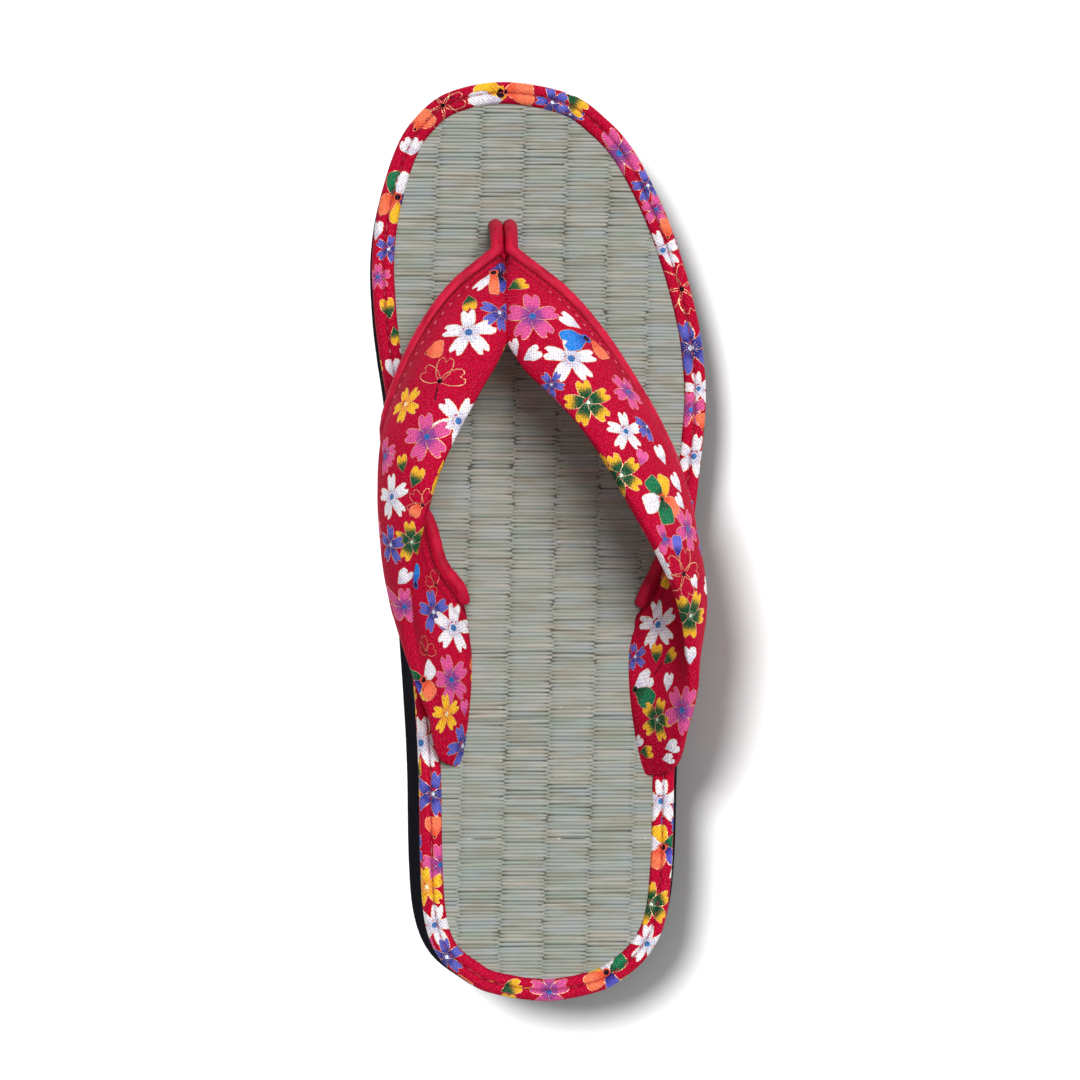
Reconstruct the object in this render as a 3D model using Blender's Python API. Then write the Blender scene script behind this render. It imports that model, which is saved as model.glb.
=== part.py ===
# Zori sandal for a right foot: a foam wedge sole, a rush mat footbed with a cloth binding,
# and two padded straps joined over a toe post, each with a corded edge.
# Metres. +Z is up, +Y points to the toe, +X to the little toe's side. The floor is z = 0.

import math

import bmesh
import bpy
import numpy as np

for old in list(bpy.data.objects):
    bpy.data.objects.remove(old)

# Whole shoe
length = 0.245
ballWidth = 0.090

# Sole
heelHeight = 0.0262
ballHeight = 0.0162
toeSpring = 0.0050
archRise = 0.0025
soleFlare = 0.0030
soleInset = 0.0004
soleEdgeRound = 0.0016
# Share of the flare that is left halfway up the side
flareMiddle = 0.4

# Footbed mat and its binding
matThickness = 0.0045
bindingBand = 0.0057
bindingCloth = 0.0009
bindingPuff = 0.0005

# Straps, toe post and piping
strapRise = 0.042
strapThickness = 0.0050
slitThickness = 0.0030
pipingWidth = 0.00355
postWidth = 0.0064
postLength = 0.0090
postTop = 0.0050
postLean = 0.0030
seamOverlap = 0.0010

# Space left between neighbours, and round a strap where it goes through the mat
gap = 0.0003
slitGap = 0.0005

# How square a strap's and the post's section are: 1 is an ellipse, 0 a rectangle
strapBlunt = 0.5
postBlunt = 0.6

# How finely curves are cut
outlineSteps = 3
strapSteps = 3
sectionPoints = 18
cordPoints = 8

# Steps of a strap that its cord leaves out, where the band goes into its slit
cordShortSteps = 2 * strapSteps

# Footbed outline. along: share of the length from the middle. medial, lateral: shares of the ball width.
outlineRows = (
    {"along": -0.491, "medial": 0.150, "lateral": 0.163},
    {"along": -0.477, "medial": 0.224, "lateral": 0.239},
    {"along": -0.453, "medial": 0.301, "lateral": 0.314},
    {"along": -0.415, "medial": 0.342, "lateral": 0.367},
    {"along": -0.353, "medial": 0.356, "lateral": 0.388},
    {"along": -0.253, "medial": 0.361, "lateral": 0.396},
    {"along": -0.173, "medial": 0.373, "lateral": 0.407},
    {"along": -0.061, "medial": 0.400, "lateral": 0.433},
    {"along": 0.055, "medial": 0.429, "lateral": 0.472},
    {"along": 0.147, "medial": 0.454, "lateral": 0.498},
    {"along": 0.204, "medial": 0.478, "lateral": 0.491},
    {"along": 0.251, "medial": 0.493, "lateral": 0.470},
    {"along": 0.310, "medial": 0.499, "lateral": 0.426},
    {"along": 0.366, "medial": 0.480, "lateral": 0.369},
    {"along": 0.425, "medial": 0.432, "lateral": 0.284},
    {"along": 0.460, "medial": 0.374, "lateral": 0.200},
    {"along": 0.488, "medial": 0.276, "lateral": 0.085},
)
heelTip = {"along": -0.500, "across": 0.013}
toeTip = {"along": 0.500, "across": -0.109}

# Side view. along: share of the length. top: 0 at the ball's height, 1 at the heel's. arch, spring and flare:
# shares of the arch rise, the toe spring and the flare of the lower edge.
profileRows = (
    {"along": -0.52, "top": 1.02, "arch": 0.0, "spring": 0.10, "flare": 0.86},
    {"along": -0.46, "top": 1.00, "arch": 0.0, "spring": 0.00, "flare": 0.93},
    {"along": -0.34, "top": 0.97, "arch": 0.0, "spring": 0.00, "flare": 1.00},
    {"along": -0.20, "top": 0.84, "arch": 0.0, "spring": 0.00, "flare": 1.00},
    {"along": -0.13, "top": 0.70, "arch": 0.5, "spring": 0.00, "flare": 0.93},
    {"along": -0.06, "top": 0.52, "arch": 1.0, "spring": 0.00, "flare": 0.80},
    {"along": 0.02, "top": 0.30, "arch": 0.5, "spring": 0.00, "flare": 0.60},
    {"along": 0.09, "top": 0.12, "arch": 0.0, "spring": 0.00, "flare": 0.40},
    {"along": 0.20, "top": 0.00, "arch": 0.0, "spring": 0.00, "flare": 0.27},
    {"along": 0.30, "top": 0.00, "arch": 0.0, "spring": 0.03, "flare": 0.23},
    {"along": 0.40, "top": 0.00, "arch": 0.0, "spring": 0.40, "flare": 0.20},
    {"along": 0.52, "top": 0.00, "arch": 0.0, "spring": 1.10, "flare": 0.13},
)

# The binding's section over the mat, from its inner edge outwards. inward: share of the band. up: share of the
# cloth's thickness. puff: share of the padding's height.
bindingRows = (
    {"inward": 1.00, "up": 0.0, "puff": 0.0},
    {"inward": 1.00, "up": 1.0, "puff": 0.0},
    {"inward": 0.60, "up": 1.0, "puff": 1.0},
    {"inward": 0.25, "up": 1.0, "puff": 0.7},
    {"inward": 0.055, "up": 0.0, "puff": 0.0},
    {"inward": 0.00, "up": -1.8, "puff": 0.0},
)

# Straps, a row for each section from the joint to the slit. rear, mid and front place the folded rear edge,
# the middle of the band and the centre of the corded front edge: share of the ball width across, share of the
# length along, then the height over the mat, as a share of the strap rise above it and of the mat's thickness
# below it. thick: 0 is the slit's thickness and 1 the strap's.
medialRows = (
    {"rear": (-0.111, 0.218, 0.62), "mid": (-0.111, 0.262, 0.58), "front": (-0.132, 0.312, 0.37), "thick": 0.9},
    {"rear": (-0.144, 0.186, 0.74), "mid": (-0.200, 0.226, 0.70), "front": (-0.254, 0.273, 0.42), "thick": 1.0},
    {"rear": (-0.191, 0.154, 0.84), "mid": (-0.276, 0.190, 0.78), "front": (-0.344, 0.228, 0.45), "thick": 1.0},
    {"rear": (-0.253, 0.110, 0.93), "mid": (-0.352, 0.143, 0.81), "front": (-0.420, 0.170, 0.43), "thick": 1.0},
    {"rear": (-0.308, 0.066, 0.97), "mid": (-0.420, 0.094, 0.77), "front": (-0.458, 0.112, 0.38), "thick": 1.0},
    {"rear": (-0.344, 0.026, 0.95), "mid": (-0.452, 0.045, 0.66), "front": (-0.404, 0.064, 0.28), "thick": 1.0},
    {"rear": (-0.372, -0.014, 0.86), "mid": (-0.448, -0.002, 0.53), "front": (-0.332, 0.020, 0.20), "thick": 1.0},
    {"rear": (-0.394, -0.056, 0.72), "mid": (-0.420, -0.048, 0.40), "front": (-0.296, -0.024, 0.13), "thick": 1.0},
    {"rear": (-0.390, -0.102, 0.56), "mid": (-0.362, -0.096, 0.24), "front": (-0.244, -0.050, 0.075), "thick": 1.0},
    {"rear": (-0.370, -0.146, 0.41), "mid": (-0.296, -0.134, 0.16), "front": (-0.232, -0.060, 0.055), "thick": 0.7},
    {"rear": (-0.330, -0.190, 0.27), "mid": (-0.248, -0.154, 0.08), "front": (-0.228, -0.068, 0.030), "thick": 0.3},
    {"rear": (-0.262, -0.232, 0.10), "mid": (-0.230, -0.161, 0.01), "front": (-0.2265, -0.074, 0.0), "thick": 0.0},
    {"rear": (-0.232, -0.240, -0.80), "mid": (-0.226, -0.162, -0.80), "front": (-0.226, -0.077, -0.80), "thick": 0.0},
)
lateralRows = (
    {"rear": (-0.111, 0.218, 0.62), "mid": (-0.111, 0.262, 0.58), "front": (-0.090, 0.312, 0.37), "thick": 0.9},
    {"rear": (-0.056, 0.180, 0.74), "mid": (0.006, 0.220, 0.70), "front": (0.060, 0.267, 0.42), "thick": 1.0},
    {"rear": (0.018, 0.151, 0.84), "mid": (0.100, 0.184, 0.78), "front": (0.166, 0.222, 0.45), "thick": 1.0},
    {"rear": (0.104, 0.114, 0.93), "mid": (0.200, 0.146, 0.81), "front": (0.263, 0.169, 0.43), "thick": 1.0},
    {"rear": (0.184, 0.070, 0.98), "mid": (0.290, 0.100, 0.77), "front": (0.342, 0.118, 0.40), "thick": 1.0},
    {"rear": (0.256, 0.024, 0.97), "mid": (0.368, 0.050, 0.70), "front": (0.400, 0.066, 0.32), "thick": 1.0},
    {"rear": (0.322, -0.018, 0.90), "mid": (0.420, -0.002, 0.59), "front": (0.392, 0.016, 0.24), "thick": 1.0},
    {"rear": (0.378, -0.060, 0.76), "mid": (0.444, -0.050, 0.44), "front": (0.346, -0.028, 0.15), "thick": 1.0},
    {"rear": (0.416, -0.106, 0.60), "mid": (0.428, -0.100, 0.28), "front": (0.312, -0.055, 0.075), "thick": 1.0},
    {"rear": (0.438, -0.154, 0.47), "mid": (0.376, -0.136, 0.18), "front": (0.302, -0.064, 0.050), "thick": 0.8},
    {"rear": (0.418, -0.202, 0.35), "mid": (0.326, -0.156, 0.08), "front": (0.298, -0.071, 0.025), "thick": 0.5},
    {"rear": (0.356, -0.240, 0.18), "mid": (0.300, -0.163, 0.01), "front": (0.295, -0.076, 0.000), "thick": 0.2},
    {"rear": (0.300, -0.252, -0.80), "mid": (0.294, -0.165, -0.80), "front": (0.294, -0.078, -0.80), "thick": 0.0},
)
seamAcross = -0.111

# The cords' way from the hole up the front of the post, as along and rise like above.
postCordRows = (
    {"along": 0.345, "rise": -0.90},
    {"along": 0.344, "rise": 0.00},
    {"along": 0.340, "rise": 0.13},
    {"along": 0.330, "rise": 0.27},
)


def rowValues(rows, name):
    return np.array([row[name] for row in rows], float)


def smoothCurve(points, steps, closed=False):
    """Points along a smooth curve through the given ones, with this many steps between two of them."""
    points = np.asarray(points, float)
    if closed:
        before, starts, after, far = (np.roll(points, shift, axis=0) for shift in (1, 0, -1, -2))
    else:
        padded = np.vstack([2 * points[0] - points[1], points, 2 * points[-1] - points[-2]])
        before, starts, after, far = padded[:-3], padded[1:-2], padded[2:-1], padded[3:]
    share = np.linspace(0, 1, steps, endpoint=False).reshape(1, -1, 1)
    before, starts, after, far = (part[:, None, :] for part in (before, starts, after, far))
    leaving = (after - before) / 2
    arriving = (far - starts) / 2
    curve = (
        (2 * share**3 - 3 * share**2 + 1) * starts
        + (share**3 - 2 * share**2 + share) * leaving
        + (3 * share**2 - 2 * share**3) * after
        + (share**3 - share**2) * arriving
    ).reshape(-1, points.shape[1])
    return curve if closed else np.vstack([curve, points[-1]])


def alongProfile(name, y):
    """A column of the side view at each y, smooth between its rows and never past them."""
    at = rowValues(profileRows, "along") * length
    values = rowValues(profileRows, name)
    slopes = np.diff(values) / np.diff(at)
    product = slopes[:-1] * slopes[1:]
    tangents = np.zeros_like(values)
    rising = product > 0
    tangents[1:-1][rising] = 2 * product[rising] / (slopes[:-1] + slopes[1:])[rising]
    index = np.clip(np.searchsorted(at, y) - 1, 0, len(at) - 2)
    step = at[index + 1] - at[index]
    share = (y - at[index]) / step
    return (
        (2 * share**3 - 3 * share**2 + 1) * values[index]
        + (share**3 - 2 * share**2 + share) * step * tangents[index]
        + (3 * share**2 - 2 * share**3) * values[index + 1]
        + (share**3 - share**2) * step * tangents[index + 1]
    )


def soleBottom(y):
    return archRise * alongProfile("arch", y) + toeSpring * alongProfile("spring", y)


def soleTop(y):
    wedge = (heelHeight - ballHeight) * alongProfile("top", y)
    return ballHeight + wedge + toeSpring * alongProfile("spring", y)


def matTop(y):
    return soleTop(y) + gap + matThickness


def footbedOutline():
    """The binding's outer edge in plan, from the heel's tip up the little toe's side and back down the other."""
    along = rowValues(outlineRows, "along") * length
    lateral = np.column_stack([rowValues(outlineRows, "lateral") * ballWidth, along])
    medial = np.column_stack([-rowValues(outlineRows, "medial") * ballWidth, along])
    heel = (heelTip["across"] * ballWidth, heelTip["along"] * length)
    toe = (toeTip["across"] * ballWidth, toeTip["along"] * length)
    return smoothCurve(np.vstack([[heel], lateral, [toe], medial[::-1]]), outlineSteps, closed=True)


def outset(outline, distance):
    """The outline moved outwards by a distance, one value or one for each point."""
    tangent = np.roll(outline, -1, axis=0) - np.roll(outline, 1, axis=0)
    tangent /= np.linalg.norm(tangent, axis=1, keepdims=True)
    normal = np.column_stack([tangent[:, 1], -tangent[:, 0]])
    return outline + normal * np.reshape(distance, (-1, 1))


def ringOf(outline, distance, height):
    """A ring of points at this distance outside the outline, at the height that the function gives for its y."""
    plan = outset(outline, distance)
    return np.column_stack([plan, height(plan[:, 1])])


def sideFaces(ringCount, size, closed=False):
    """Quads between rings of the same size that follow each other in one list of points."""
    faces = []
    for ring in range(ringCount if closed else ringCount - 1):
        here = ring * size
        there = (ring + 1) % ringCount * size
        for point in range(size):
            after = (point + 1) % size
            faces.append((here + point, here + after, there + after, there + point))
    return faces


def ladderFaces(start, size):
    """A cap over an outline ring, with a rung between its two sides at each step along the shoe."""
    faces = [(start, start + 1, start + size - 1)]
    for step in range(1, size // 2 - 1):
        faces.append((start + step, start + step + 1, start + size - step - 1, start + size - step))
    half = start + size // 2
    faces.append((half - 1, half, half + 1))
    return faces


def meshObject(name, points, faces, material, smoothAngle=math.radians(40)):
    """A closed mesh object with its faces turned outwards."""
    mesh = bpy.data.meshes.new(name)
    mesh.from_pydata([tuple(point) for point in points], [], faces)
    shape = bmesh.new()
    shape.from_mesh(mesh)
    bmesh.ops.recalc_face_normals(shape, faces=shape.faces)
    shape.to_mesh(mesh)
    shape.free()
    mesh.shade_smooth()
    mesh.set_sharp_from_angle(angle=smoothAngle)
    mesh.materials.append(material)
    made = bpy.data.objects.new(name, mesh)
    bpy.context.scene.collection.objects.link(made)
    return made


def plainMaterial(name, colour, roughness):
    """A Principled BSDF with a linear colour and a roughness."""
    material = bpy.data.materials.new(name)
    material.use_nodes = True
    surface = material.node_tree.nodes["Principled BSDF"]
    surface.inputs["Base Color"].default_value = (*colour, 1)
    surface.inputs["Roughness"].default_value = roughness
    surface.inputs["Metallic"].default_value = 0
    return material


def combine(target, operation, others):
    """Adds an exact Boolean to the target for each of the others, which become hidden helpers."""
    for other in others:
        other.hide_render = True
        other.display_type = "WIRE"
        modifier = target.modifiers.new(other.name, "BOOLEAN")
        modifier.operation = operation
        modifier.solver = "EXACT"
        modifier.object = other


def makeSole(outline, material):
    """The wedge: a rounded lower edge, a side that leans in towards the top, and flat heel and ball underneath."""
    flare = soleFlare * alongProfile("flare", outline[:, 1])
    upperRound = soleEdgeRound / 2
    rings = (
        ringOf(outline, flare - soleEdgeRound, soleBottom),
        ringOf(outline, flare, lambda y: soleBottom(y) + soleEdgeRound),
        ringOf(outline, flare * flareMiddle - soleInset, lambda y: (soleBottom(y) + soleTop(y)) / 2),
        ringOf(outline, -soleInset, lambda y: soleTop(y) - upperRound),
        ringOf(outline, -soleInset - upperRound, soleTop),
    )
    size = len(outline)
    faces = sideFaces(len(rings), size) + ladderFaces(0, size) + ladderFaces((len(rings) - 1) * size, size)
    return meshObject("sole", np.vstack(rings), faces, material)


def makeMat(outline, material):
    """The slab of the footbed, short of the outline by the binding that wraps it."""
    edge = -(bindingCloth + gap)
    rings = (ringOf(outline, edge, lambda y: soleTop(y) + gap), ringOf(outline, edge, matTop))
    size = len(outline)
    faces = sideFaces(2, size) + ladderFaces(0, size) + ladderFaces(size, size)
    return meshObject("footbed_mat", np.vstack(rings), faces, material)


def makeBinding(outline, material):
    """The cloth tape: a puffed band over the mat's edge and a wall down its side."""
    section = [
        (-row["inward"] * bindingBand, gap + row["up"] * bindingCloth + row["puff"] * bindingPuff)
        for row in bindingRows
    ]
    section += [(0, -matThickness), (-bindingCloth, -matThickness), (-bindingCloth, gap)]
    rings = [ringOf(outline, out, lambda y, up=up: matTop(y) + up) for out, up in section]
    return meshObject("edge_binding", np.vstack(rings), sideFaces(len(rings), len(outline), True), material)


def placed(across, along, rise):
    """A point from a share of the ball width, a share of the length and a height over the mat."""
    y = along * length
    up = np.where(rise > 0, rise * strapRise, rise * matThickness)
    return np.column_stack([across * ballWidth, y, matTop(y) + up])


def lowered(ring):
    """A ring moved down by the mat's thickness, so that the room for a piece goes right through the mat."""
    return ring - np.array([0, 0, matThickness])


def frontRail(rows, side):
    """The middle of a cord: up the front of the post, side by side with the other, then along the strap's edge."""
    seam = seamAcross * ballWidth
    aside = (pipingWidth + gap) / 2
    edge = placed(*rowValues(rows, "front").T)
    edge[0, 0] = seam + side * aside
    post = placed(
        np.full(len(postCordRows), edge[0, 0] / ballWidth),
        rowValues(postCordRows, "along"),
        rowValues(postCordRows, "rise"),
    )
    rail = smoothCurve(np.vstack([post, edge]), strapSteps)
    rail[:, 0] = seam + side * np.maximum(side * (rail[:, 0] - seam), aside)
    return rail


def strapRails(rows, side):
    """Smooth rails along the rear edge, the middle and the front edge, and the thickness at each station."""
    rear, mid = (smoothCurve(placed(*rowValues(rows, name).T), strapSteps) for name in ("rear", "mid"))
    front = frontRail(rows, side)[-len(rear) :]
    thick = smoothCurve(rowValues(rows, "thick")[:, None], strapSteps)[:, 0]
    return rear, mid, front, slitThickness + (strapThickness - slitThickness) * np.clip(thick, 0, 1)


def bluntSection(blunt):
    """The two coordinates of a rounded box section, each from -1 to 1: sine first, then cosine."""
    turn = np.linspace(0, 2 * math.pi, sectionPoints, endpoint=False)
    return [np.sign(wave) * np.abs(wave) ** blunt for wave in (np.sin(turn), np.cos(turn))]


def strapPoints(rows, side, grown):
    """Rings of a padded band: a rounded slab section laid along the surface through the three rails."""
    rear, mid, front, thick = strapRails(rows, side)
    depth, outward = bluntSection(strapBlunt)
    width = np.linalg.norm(mid - rear, axis=1) + np.linalg.norm(front - mid, axis=1)
    edge = 1 - (pipingWidth / 2 + gap) / width
    middle = edge / 2
    reach = middle + grown / width
    share = middle[:, None] - reach[:, None] * outward[None, :]
    share = share[:, :, None]
    rear, mid, front = (rail[:, None, :] for rail in (rear, mid, front))
    surface = (
        (2 * share**2 - 3 * share + 1) * rear
        + (4 * share - 4 * share**2) * mid
        + (2 * share**2 - share) * front
    )
    acrossWay = (4 * share - 3) * rear + (4 - 8 * share) * mid + (4 * share - 1) * front
    alongWay = np.gradient(surface, axis=0)
    normal = np.cross(alongWay, acrossWay)
    normal /= np.linalg.norm(normal, axis=2, keepdims=True)
    half = thick[:, None, None] / 2 + grown
    return surface + normal * half * depth[None, :, None]


def ringsObject(name, rings, material):
    """A closed tube through rings of points, each end closed by a fan around its middle."""
    count, size = rings.shape[:2]
    points = np.vstack([rings.reshape(-1, 3), rings[0].mean(axis=0), rings[-1].mean(axis=0)])
    faces = sideFaces(count, size)
    for start, middle in ((0, count * size), ((count - 1) * size, count * size + 1)):
        faces += [(start + point, start + (point + 1) % size, middle) for point in range(size)]
    return meshObject(name, points, faces, material)


def makeStrap(name, rows, side, material, grown=0):
    """One padded strap. Its front end runs a little past the seam, so that both join there."""
    rings = strapPoints(rows, side, grown)
    start = rings[0] + np.array([-side * seamOverlap, 0, 0])
    rings = np.concatenate([[start], rings])
    if grown:
        rings = np.concatenate([rings, [lowered(rings[-1])]])
    return ringsObject(name, rings, material)


def makeCord(name, rows, side, material, grown=0):
    """A round cord swept along its path, without twist."""
    path = frontRail(rows, side)[:-cordShortSteps]
    tangents = np.gradient(path, axis=0)
    tangents /= np.linalg.norm(tangents, axis=1, keepdims=True)
    out = np.cross(tangents[0], (1.0, 0.0, 0.0))
    turn = np.linspace(0, 2 * math.pi, cordPoints, endpoint=False)
    radius = pipingWidth / 2 + grown
    rings = []
    for point, tangent in zip(path, tangents):
        out = out - tangent * np.dot(out, tangent)
        out /= np.linalg.norm(out)
        beside = np.cross(tangent, out)
        rings.append([point + radius * (math.cos(a) * out + math.sin(a) * beside) for a in turn])
    if grown:
        rings.insert(0, lowered(rings[0]))
    return ringsObject(name, np.array(rings), material)


def makePost(name, material, grown=0, forward=0):
    """The toe post: a rounded block of cloth behind the cords, from inside the joint down through the hole.

    forward lengthens it towards the cords, so that the hole for all three is one.
    """
    seam = seamAcross * ballWidth
    behind = pipingWidth / 2 + gap + postLength / 2
    path = frontRail(medialRows, -1)[: strapSteps * len(postCordRows) + 1]
    inJoint = path[-1] + np.array([0, -postLean, postTop])
    path = np.vstack([path, inJoint])
    along, across = bluntSection(postBlunt)
    across *= postWidth / 2 + grown
    along *= postLength / 2 + grown
    along += np.where(along > 0, forward, 0)
    rings = []
    for y, z in path[:, 1:]:
        back = y - behind + along
        rings.append(np.column_stack([seam + across, back, z + matTop(back) - matTop(y)]))
    if grown:
        rings.insert(0, lowered(rings[0]))
    return ringsObject(name, np.array(rings), material)


def buildShoe():
    foam = plainMaterial("black foam rubber", (0.012, 0.012, 0.016), 0.75)
    rush = plainMaterial("woven rush", (0.45, 0.44, 0.33), 0.8)
    printed = plainMaterial("printed cotton", (0.58, 0.0, 0.03), 0.8)
    plainRed = plainMaterial("plain red cotton", (0.62, 0.01, 0.05), 0.7)
    outline = footbedOutline()
    makeSole(outline, foam)
    binding = makeBinding(outline, printed)
    mat = makeMat(outline, rush)
    upper = makeStrap("upper", medialRows, -1, printed)
    lateralStrap = makeStrap("lateral_strap", lateralRows, 1, printed)
    combine(upper, "UNION", [lateralStrap, makePost("toe_post", printed)])
    makeCord("piping_medial", medialRows, -1, plainRed)
    makeCord("piping_lateral", lateralRows, 1, plainRed)
    strapRooms = []
    cordRooms = []
    for side, rows, name in ((-1, medialRows, "medial"), (1, lateralRows, "lateral")):
        strapRooms.append(makeStrap(name + "_strap_room", rows, side, rush, slitGap))
        cordRooms.append(makeCord(name + "_cord_room", rows, side, rush, gap))
    combine(upper, "DIFFERENCE", cordRooms)
    combine(binding, "DIFFERENCE", strapRooms)
    combine(mat, "DIFFERENCE", strapRooms + cordRooms + [makePost("post_room", rush, gap, pipingWidth / 2)])


buildShoe()
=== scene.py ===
import math

import bmesh
import bpy
import numpy as np
from mathutils import Matrix, Vector
from mathutils.bvhtree import BVHTree


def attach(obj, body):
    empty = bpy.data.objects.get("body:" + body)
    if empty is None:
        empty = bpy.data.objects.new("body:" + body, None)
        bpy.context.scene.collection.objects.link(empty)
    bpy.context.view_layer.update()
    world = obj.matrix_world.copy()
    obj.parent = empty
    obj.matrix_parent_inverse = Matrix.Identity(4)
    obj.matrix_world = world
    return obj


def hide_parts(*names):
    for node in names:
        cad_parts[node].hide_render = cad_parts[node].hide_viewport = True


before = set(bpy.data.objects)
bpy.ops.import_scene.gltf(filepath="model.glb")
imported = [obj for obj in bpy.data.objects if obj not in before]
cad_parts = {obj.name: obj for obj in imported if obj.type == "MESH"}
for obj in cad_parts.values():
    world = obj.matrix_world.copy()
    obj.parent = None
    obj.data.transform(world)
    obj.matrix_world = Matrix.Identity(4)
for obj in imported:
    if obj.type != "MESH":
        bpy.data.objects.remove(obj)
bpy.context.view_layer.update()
mm = 0.001

# The footbed's sizes, as the frame has them
shoe = {
    "length": 0.245,
    "ballWidth": 0.090,
    "heelHeight": 0.0262,
    "ballHeight": 0.0162,
    "toeSpring": 0.0050,
    "archRise": 0.0025,
    "matThickness": 0.0045,
    "gap": 0.0003,
    "strapRise": 0.042,
    "seam": -0.00999,
}

# Outline rows: share of the length from the middle, then shares of the ball width to either side
outlineRows = (
    (-0.491, 0.150, 0.163),
    (-0.477, 0.224, 0.239),
    (-0.453, 0.301, 0.314),
    (-0.415, 0.342, 0.367),
    (-0.353, 0.356, 0.388),
    (-0.253, 0.361, 0.396),
    (-0.173, 0.373, 0.407),
    (-0.061, 0.400, 0.433),
    (0.055, 0.429, 0.472),
    (0.147, 0.454, 0.498),
    (0.204, 0.478, 0.491),
    (0.251, 0.493, 0.470),
    (0.310, 0.499, 0.426),
    (0.366, 0.480, 0.369),
    (0.425, 0.432, 0.284),
    (0.460, 0.374, 0.200),
    (0.488, 0.276, 0.085),
)
heelTip = (0.013, -0.500)
toeTip = (-0.109, 0.500)

# Side view rows: along, top, arch, spring, flare
profileRows = (
    (-0.52, 1.02, 0.0, 0.10, 0.86),
    (-0.46, 1.00, 0.0, 0.00, 0.93),
    (-0.34, 0.97, 0.0, 0.00, 1.00),
    (-0.20, 0.84, 0.0, 0.00, 1.00),
    (-0.13, 0.70, 0.5, 0.00, 0.93),
    (-0.06, 0.52, 1.0, 0.00, 0.80),
    (0.02, 0.30, 0.5, 0.00, 0.60),
    (0.09, 0.12, 0.0, 0.00, 0.40),
    (0.20, 0.00, 0.0, 0.00, 0.27),
    (0.30, 0.00, 0.0, 0.03, 0.23),
    (0.40, 0.00, 0.0, 0.40, 0.20),
    (0.52, 0.00, 0.0, 1.10, 0.13),
)
profileColumn = {"top": 1, "arch": 2, "spring": 3, "flare": 4}

# Strap rows from the joint to the slit: rear, middle and front edge as across, along and rise,
# then fullness
medialRows = (
    ((-0.111, 0.218, 0.62), (-0.111, 0.262, 0.58), (-0.132, 0.312, 0.37), 0.9),
    ((-0.144, 0.186, 0.74), (-0.200, 0.226, 0.70), (-0.254, 0.273, 0.42), 1.0),
    ((-0.191, 0.154, 0.84), (-0.276, 0.190, 0.78), (-0.344, 0.228, 0.45), 1.0),
    ((-0.253, 0.110, 0.93), (-0.352, 0.143, 0.81), (-0.420, 0.170, 0.43), 1.0),
    ((-0.308, 0.066, 0.97), (-0.420, 0.094, 0.77), (-0.458, 0.112, 0.38), 1.0),
    ((-0.344, 0.026, 0.95), (-0.452, 0.045, 0.66), (-0.404, 0.064, 0.28), 1.0),
    ((-0.372, -0.014, 0.86), (-0.448, -0.002, 0.53), (-0.332, 0.020, 0.20), 1.0),
    ((-0.394, -0.056, 0.72), (-0.420, -0.048, 0.40), (-0.296, -0.024, 0.13), 1.0),
    ((-0.390, -0.102, 0.56), (-0.362, -0.096, 0.24), (-0.244, -0.050, 0.075), 1.0),
    ((-0.370, -0.146, 0.41), (-0.296, -0.134, 0.16), (-0.232, -0.060, 0.055), 0.7),
    ((-0.330, -0.190, 0.27), (-0.248, -0.154, 0.08), (-0.228, -0.068, 0.030), 0.3),
    ((-0.300, -0.236, 0.11), (-0.228, -0.180, 0.01), (-0.2265, -0.074, 0.0), 0.0),
    ((-0.222, -0.250, -0.80), (-0.217, -0.182, -0.80), (-0.226, -0.077, -0.80), 0.0),
)
lateralRows = (
    ((-0.111, 0.218, 0.62), (-0.111, 0.262, 0.58), (-0.090, 0.312, 0.37), 0.9),
    ((-0.056, 0.180, 0.74), (0.006, 0.220, 0.70), (0.060, 0.267, 0.42), 1.0),
    ((0.018, 0.151, 0.84), (0.100, 0.184, 0.78), (0.166, 0.222, 0.45), 1.0),
    ((0.104, 0.114, 0.93), (0.200, 0.146, 0.81), (0.263, 0.169, 0.43), 1.0),
    ((0.184, 0.070, 0.98), (0.290, 0.100, 0.77), (0.342, 0.118, 0.40), 1.0),
    ((0.256, 0.024, 0.97), (0.368, 0.050, 0.70), (0.400, 0.066, 0.32), 1.0),
    ((0.322, -0.018, 0.90), (0.420, -0.002, 0.59), (0.392, 0.016, 0.24), 1.0),
    ((0.378, -0.060, 0.76), (0.444, -0.050, 0.44), (0.346, -0.028, 0.15), 1.0),
    ((0.416, -0.106, 0.60), (0.428, -0.100, 0.28), (0.312, -0.055, 0.075), 1.0),
    ((0.438, -0.154, 0.47), (0.376, -0.136, 0.18), (0.302, -0.064, 0.050), 0.8),
    ((0.418, -0.202, 0.35), (0.326, -0.156, 0.08), (0.298, -0.071, 0.025), 0.5),
    ((0.388, -0.247, 0.15), (0.290, -0.182, 0.01), (0.291, -0.076, 0.000), 0.2),
    ((0.284, -0.259, -0.80), (0.280, -0.186, -0.80), (0.288, -0.078, -0.80), 0.0),
)
postCordRows = ((0.345, -0.90), (0.344, 0.00), (0.340, 0.13), (0.330, 0.27))


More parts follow.
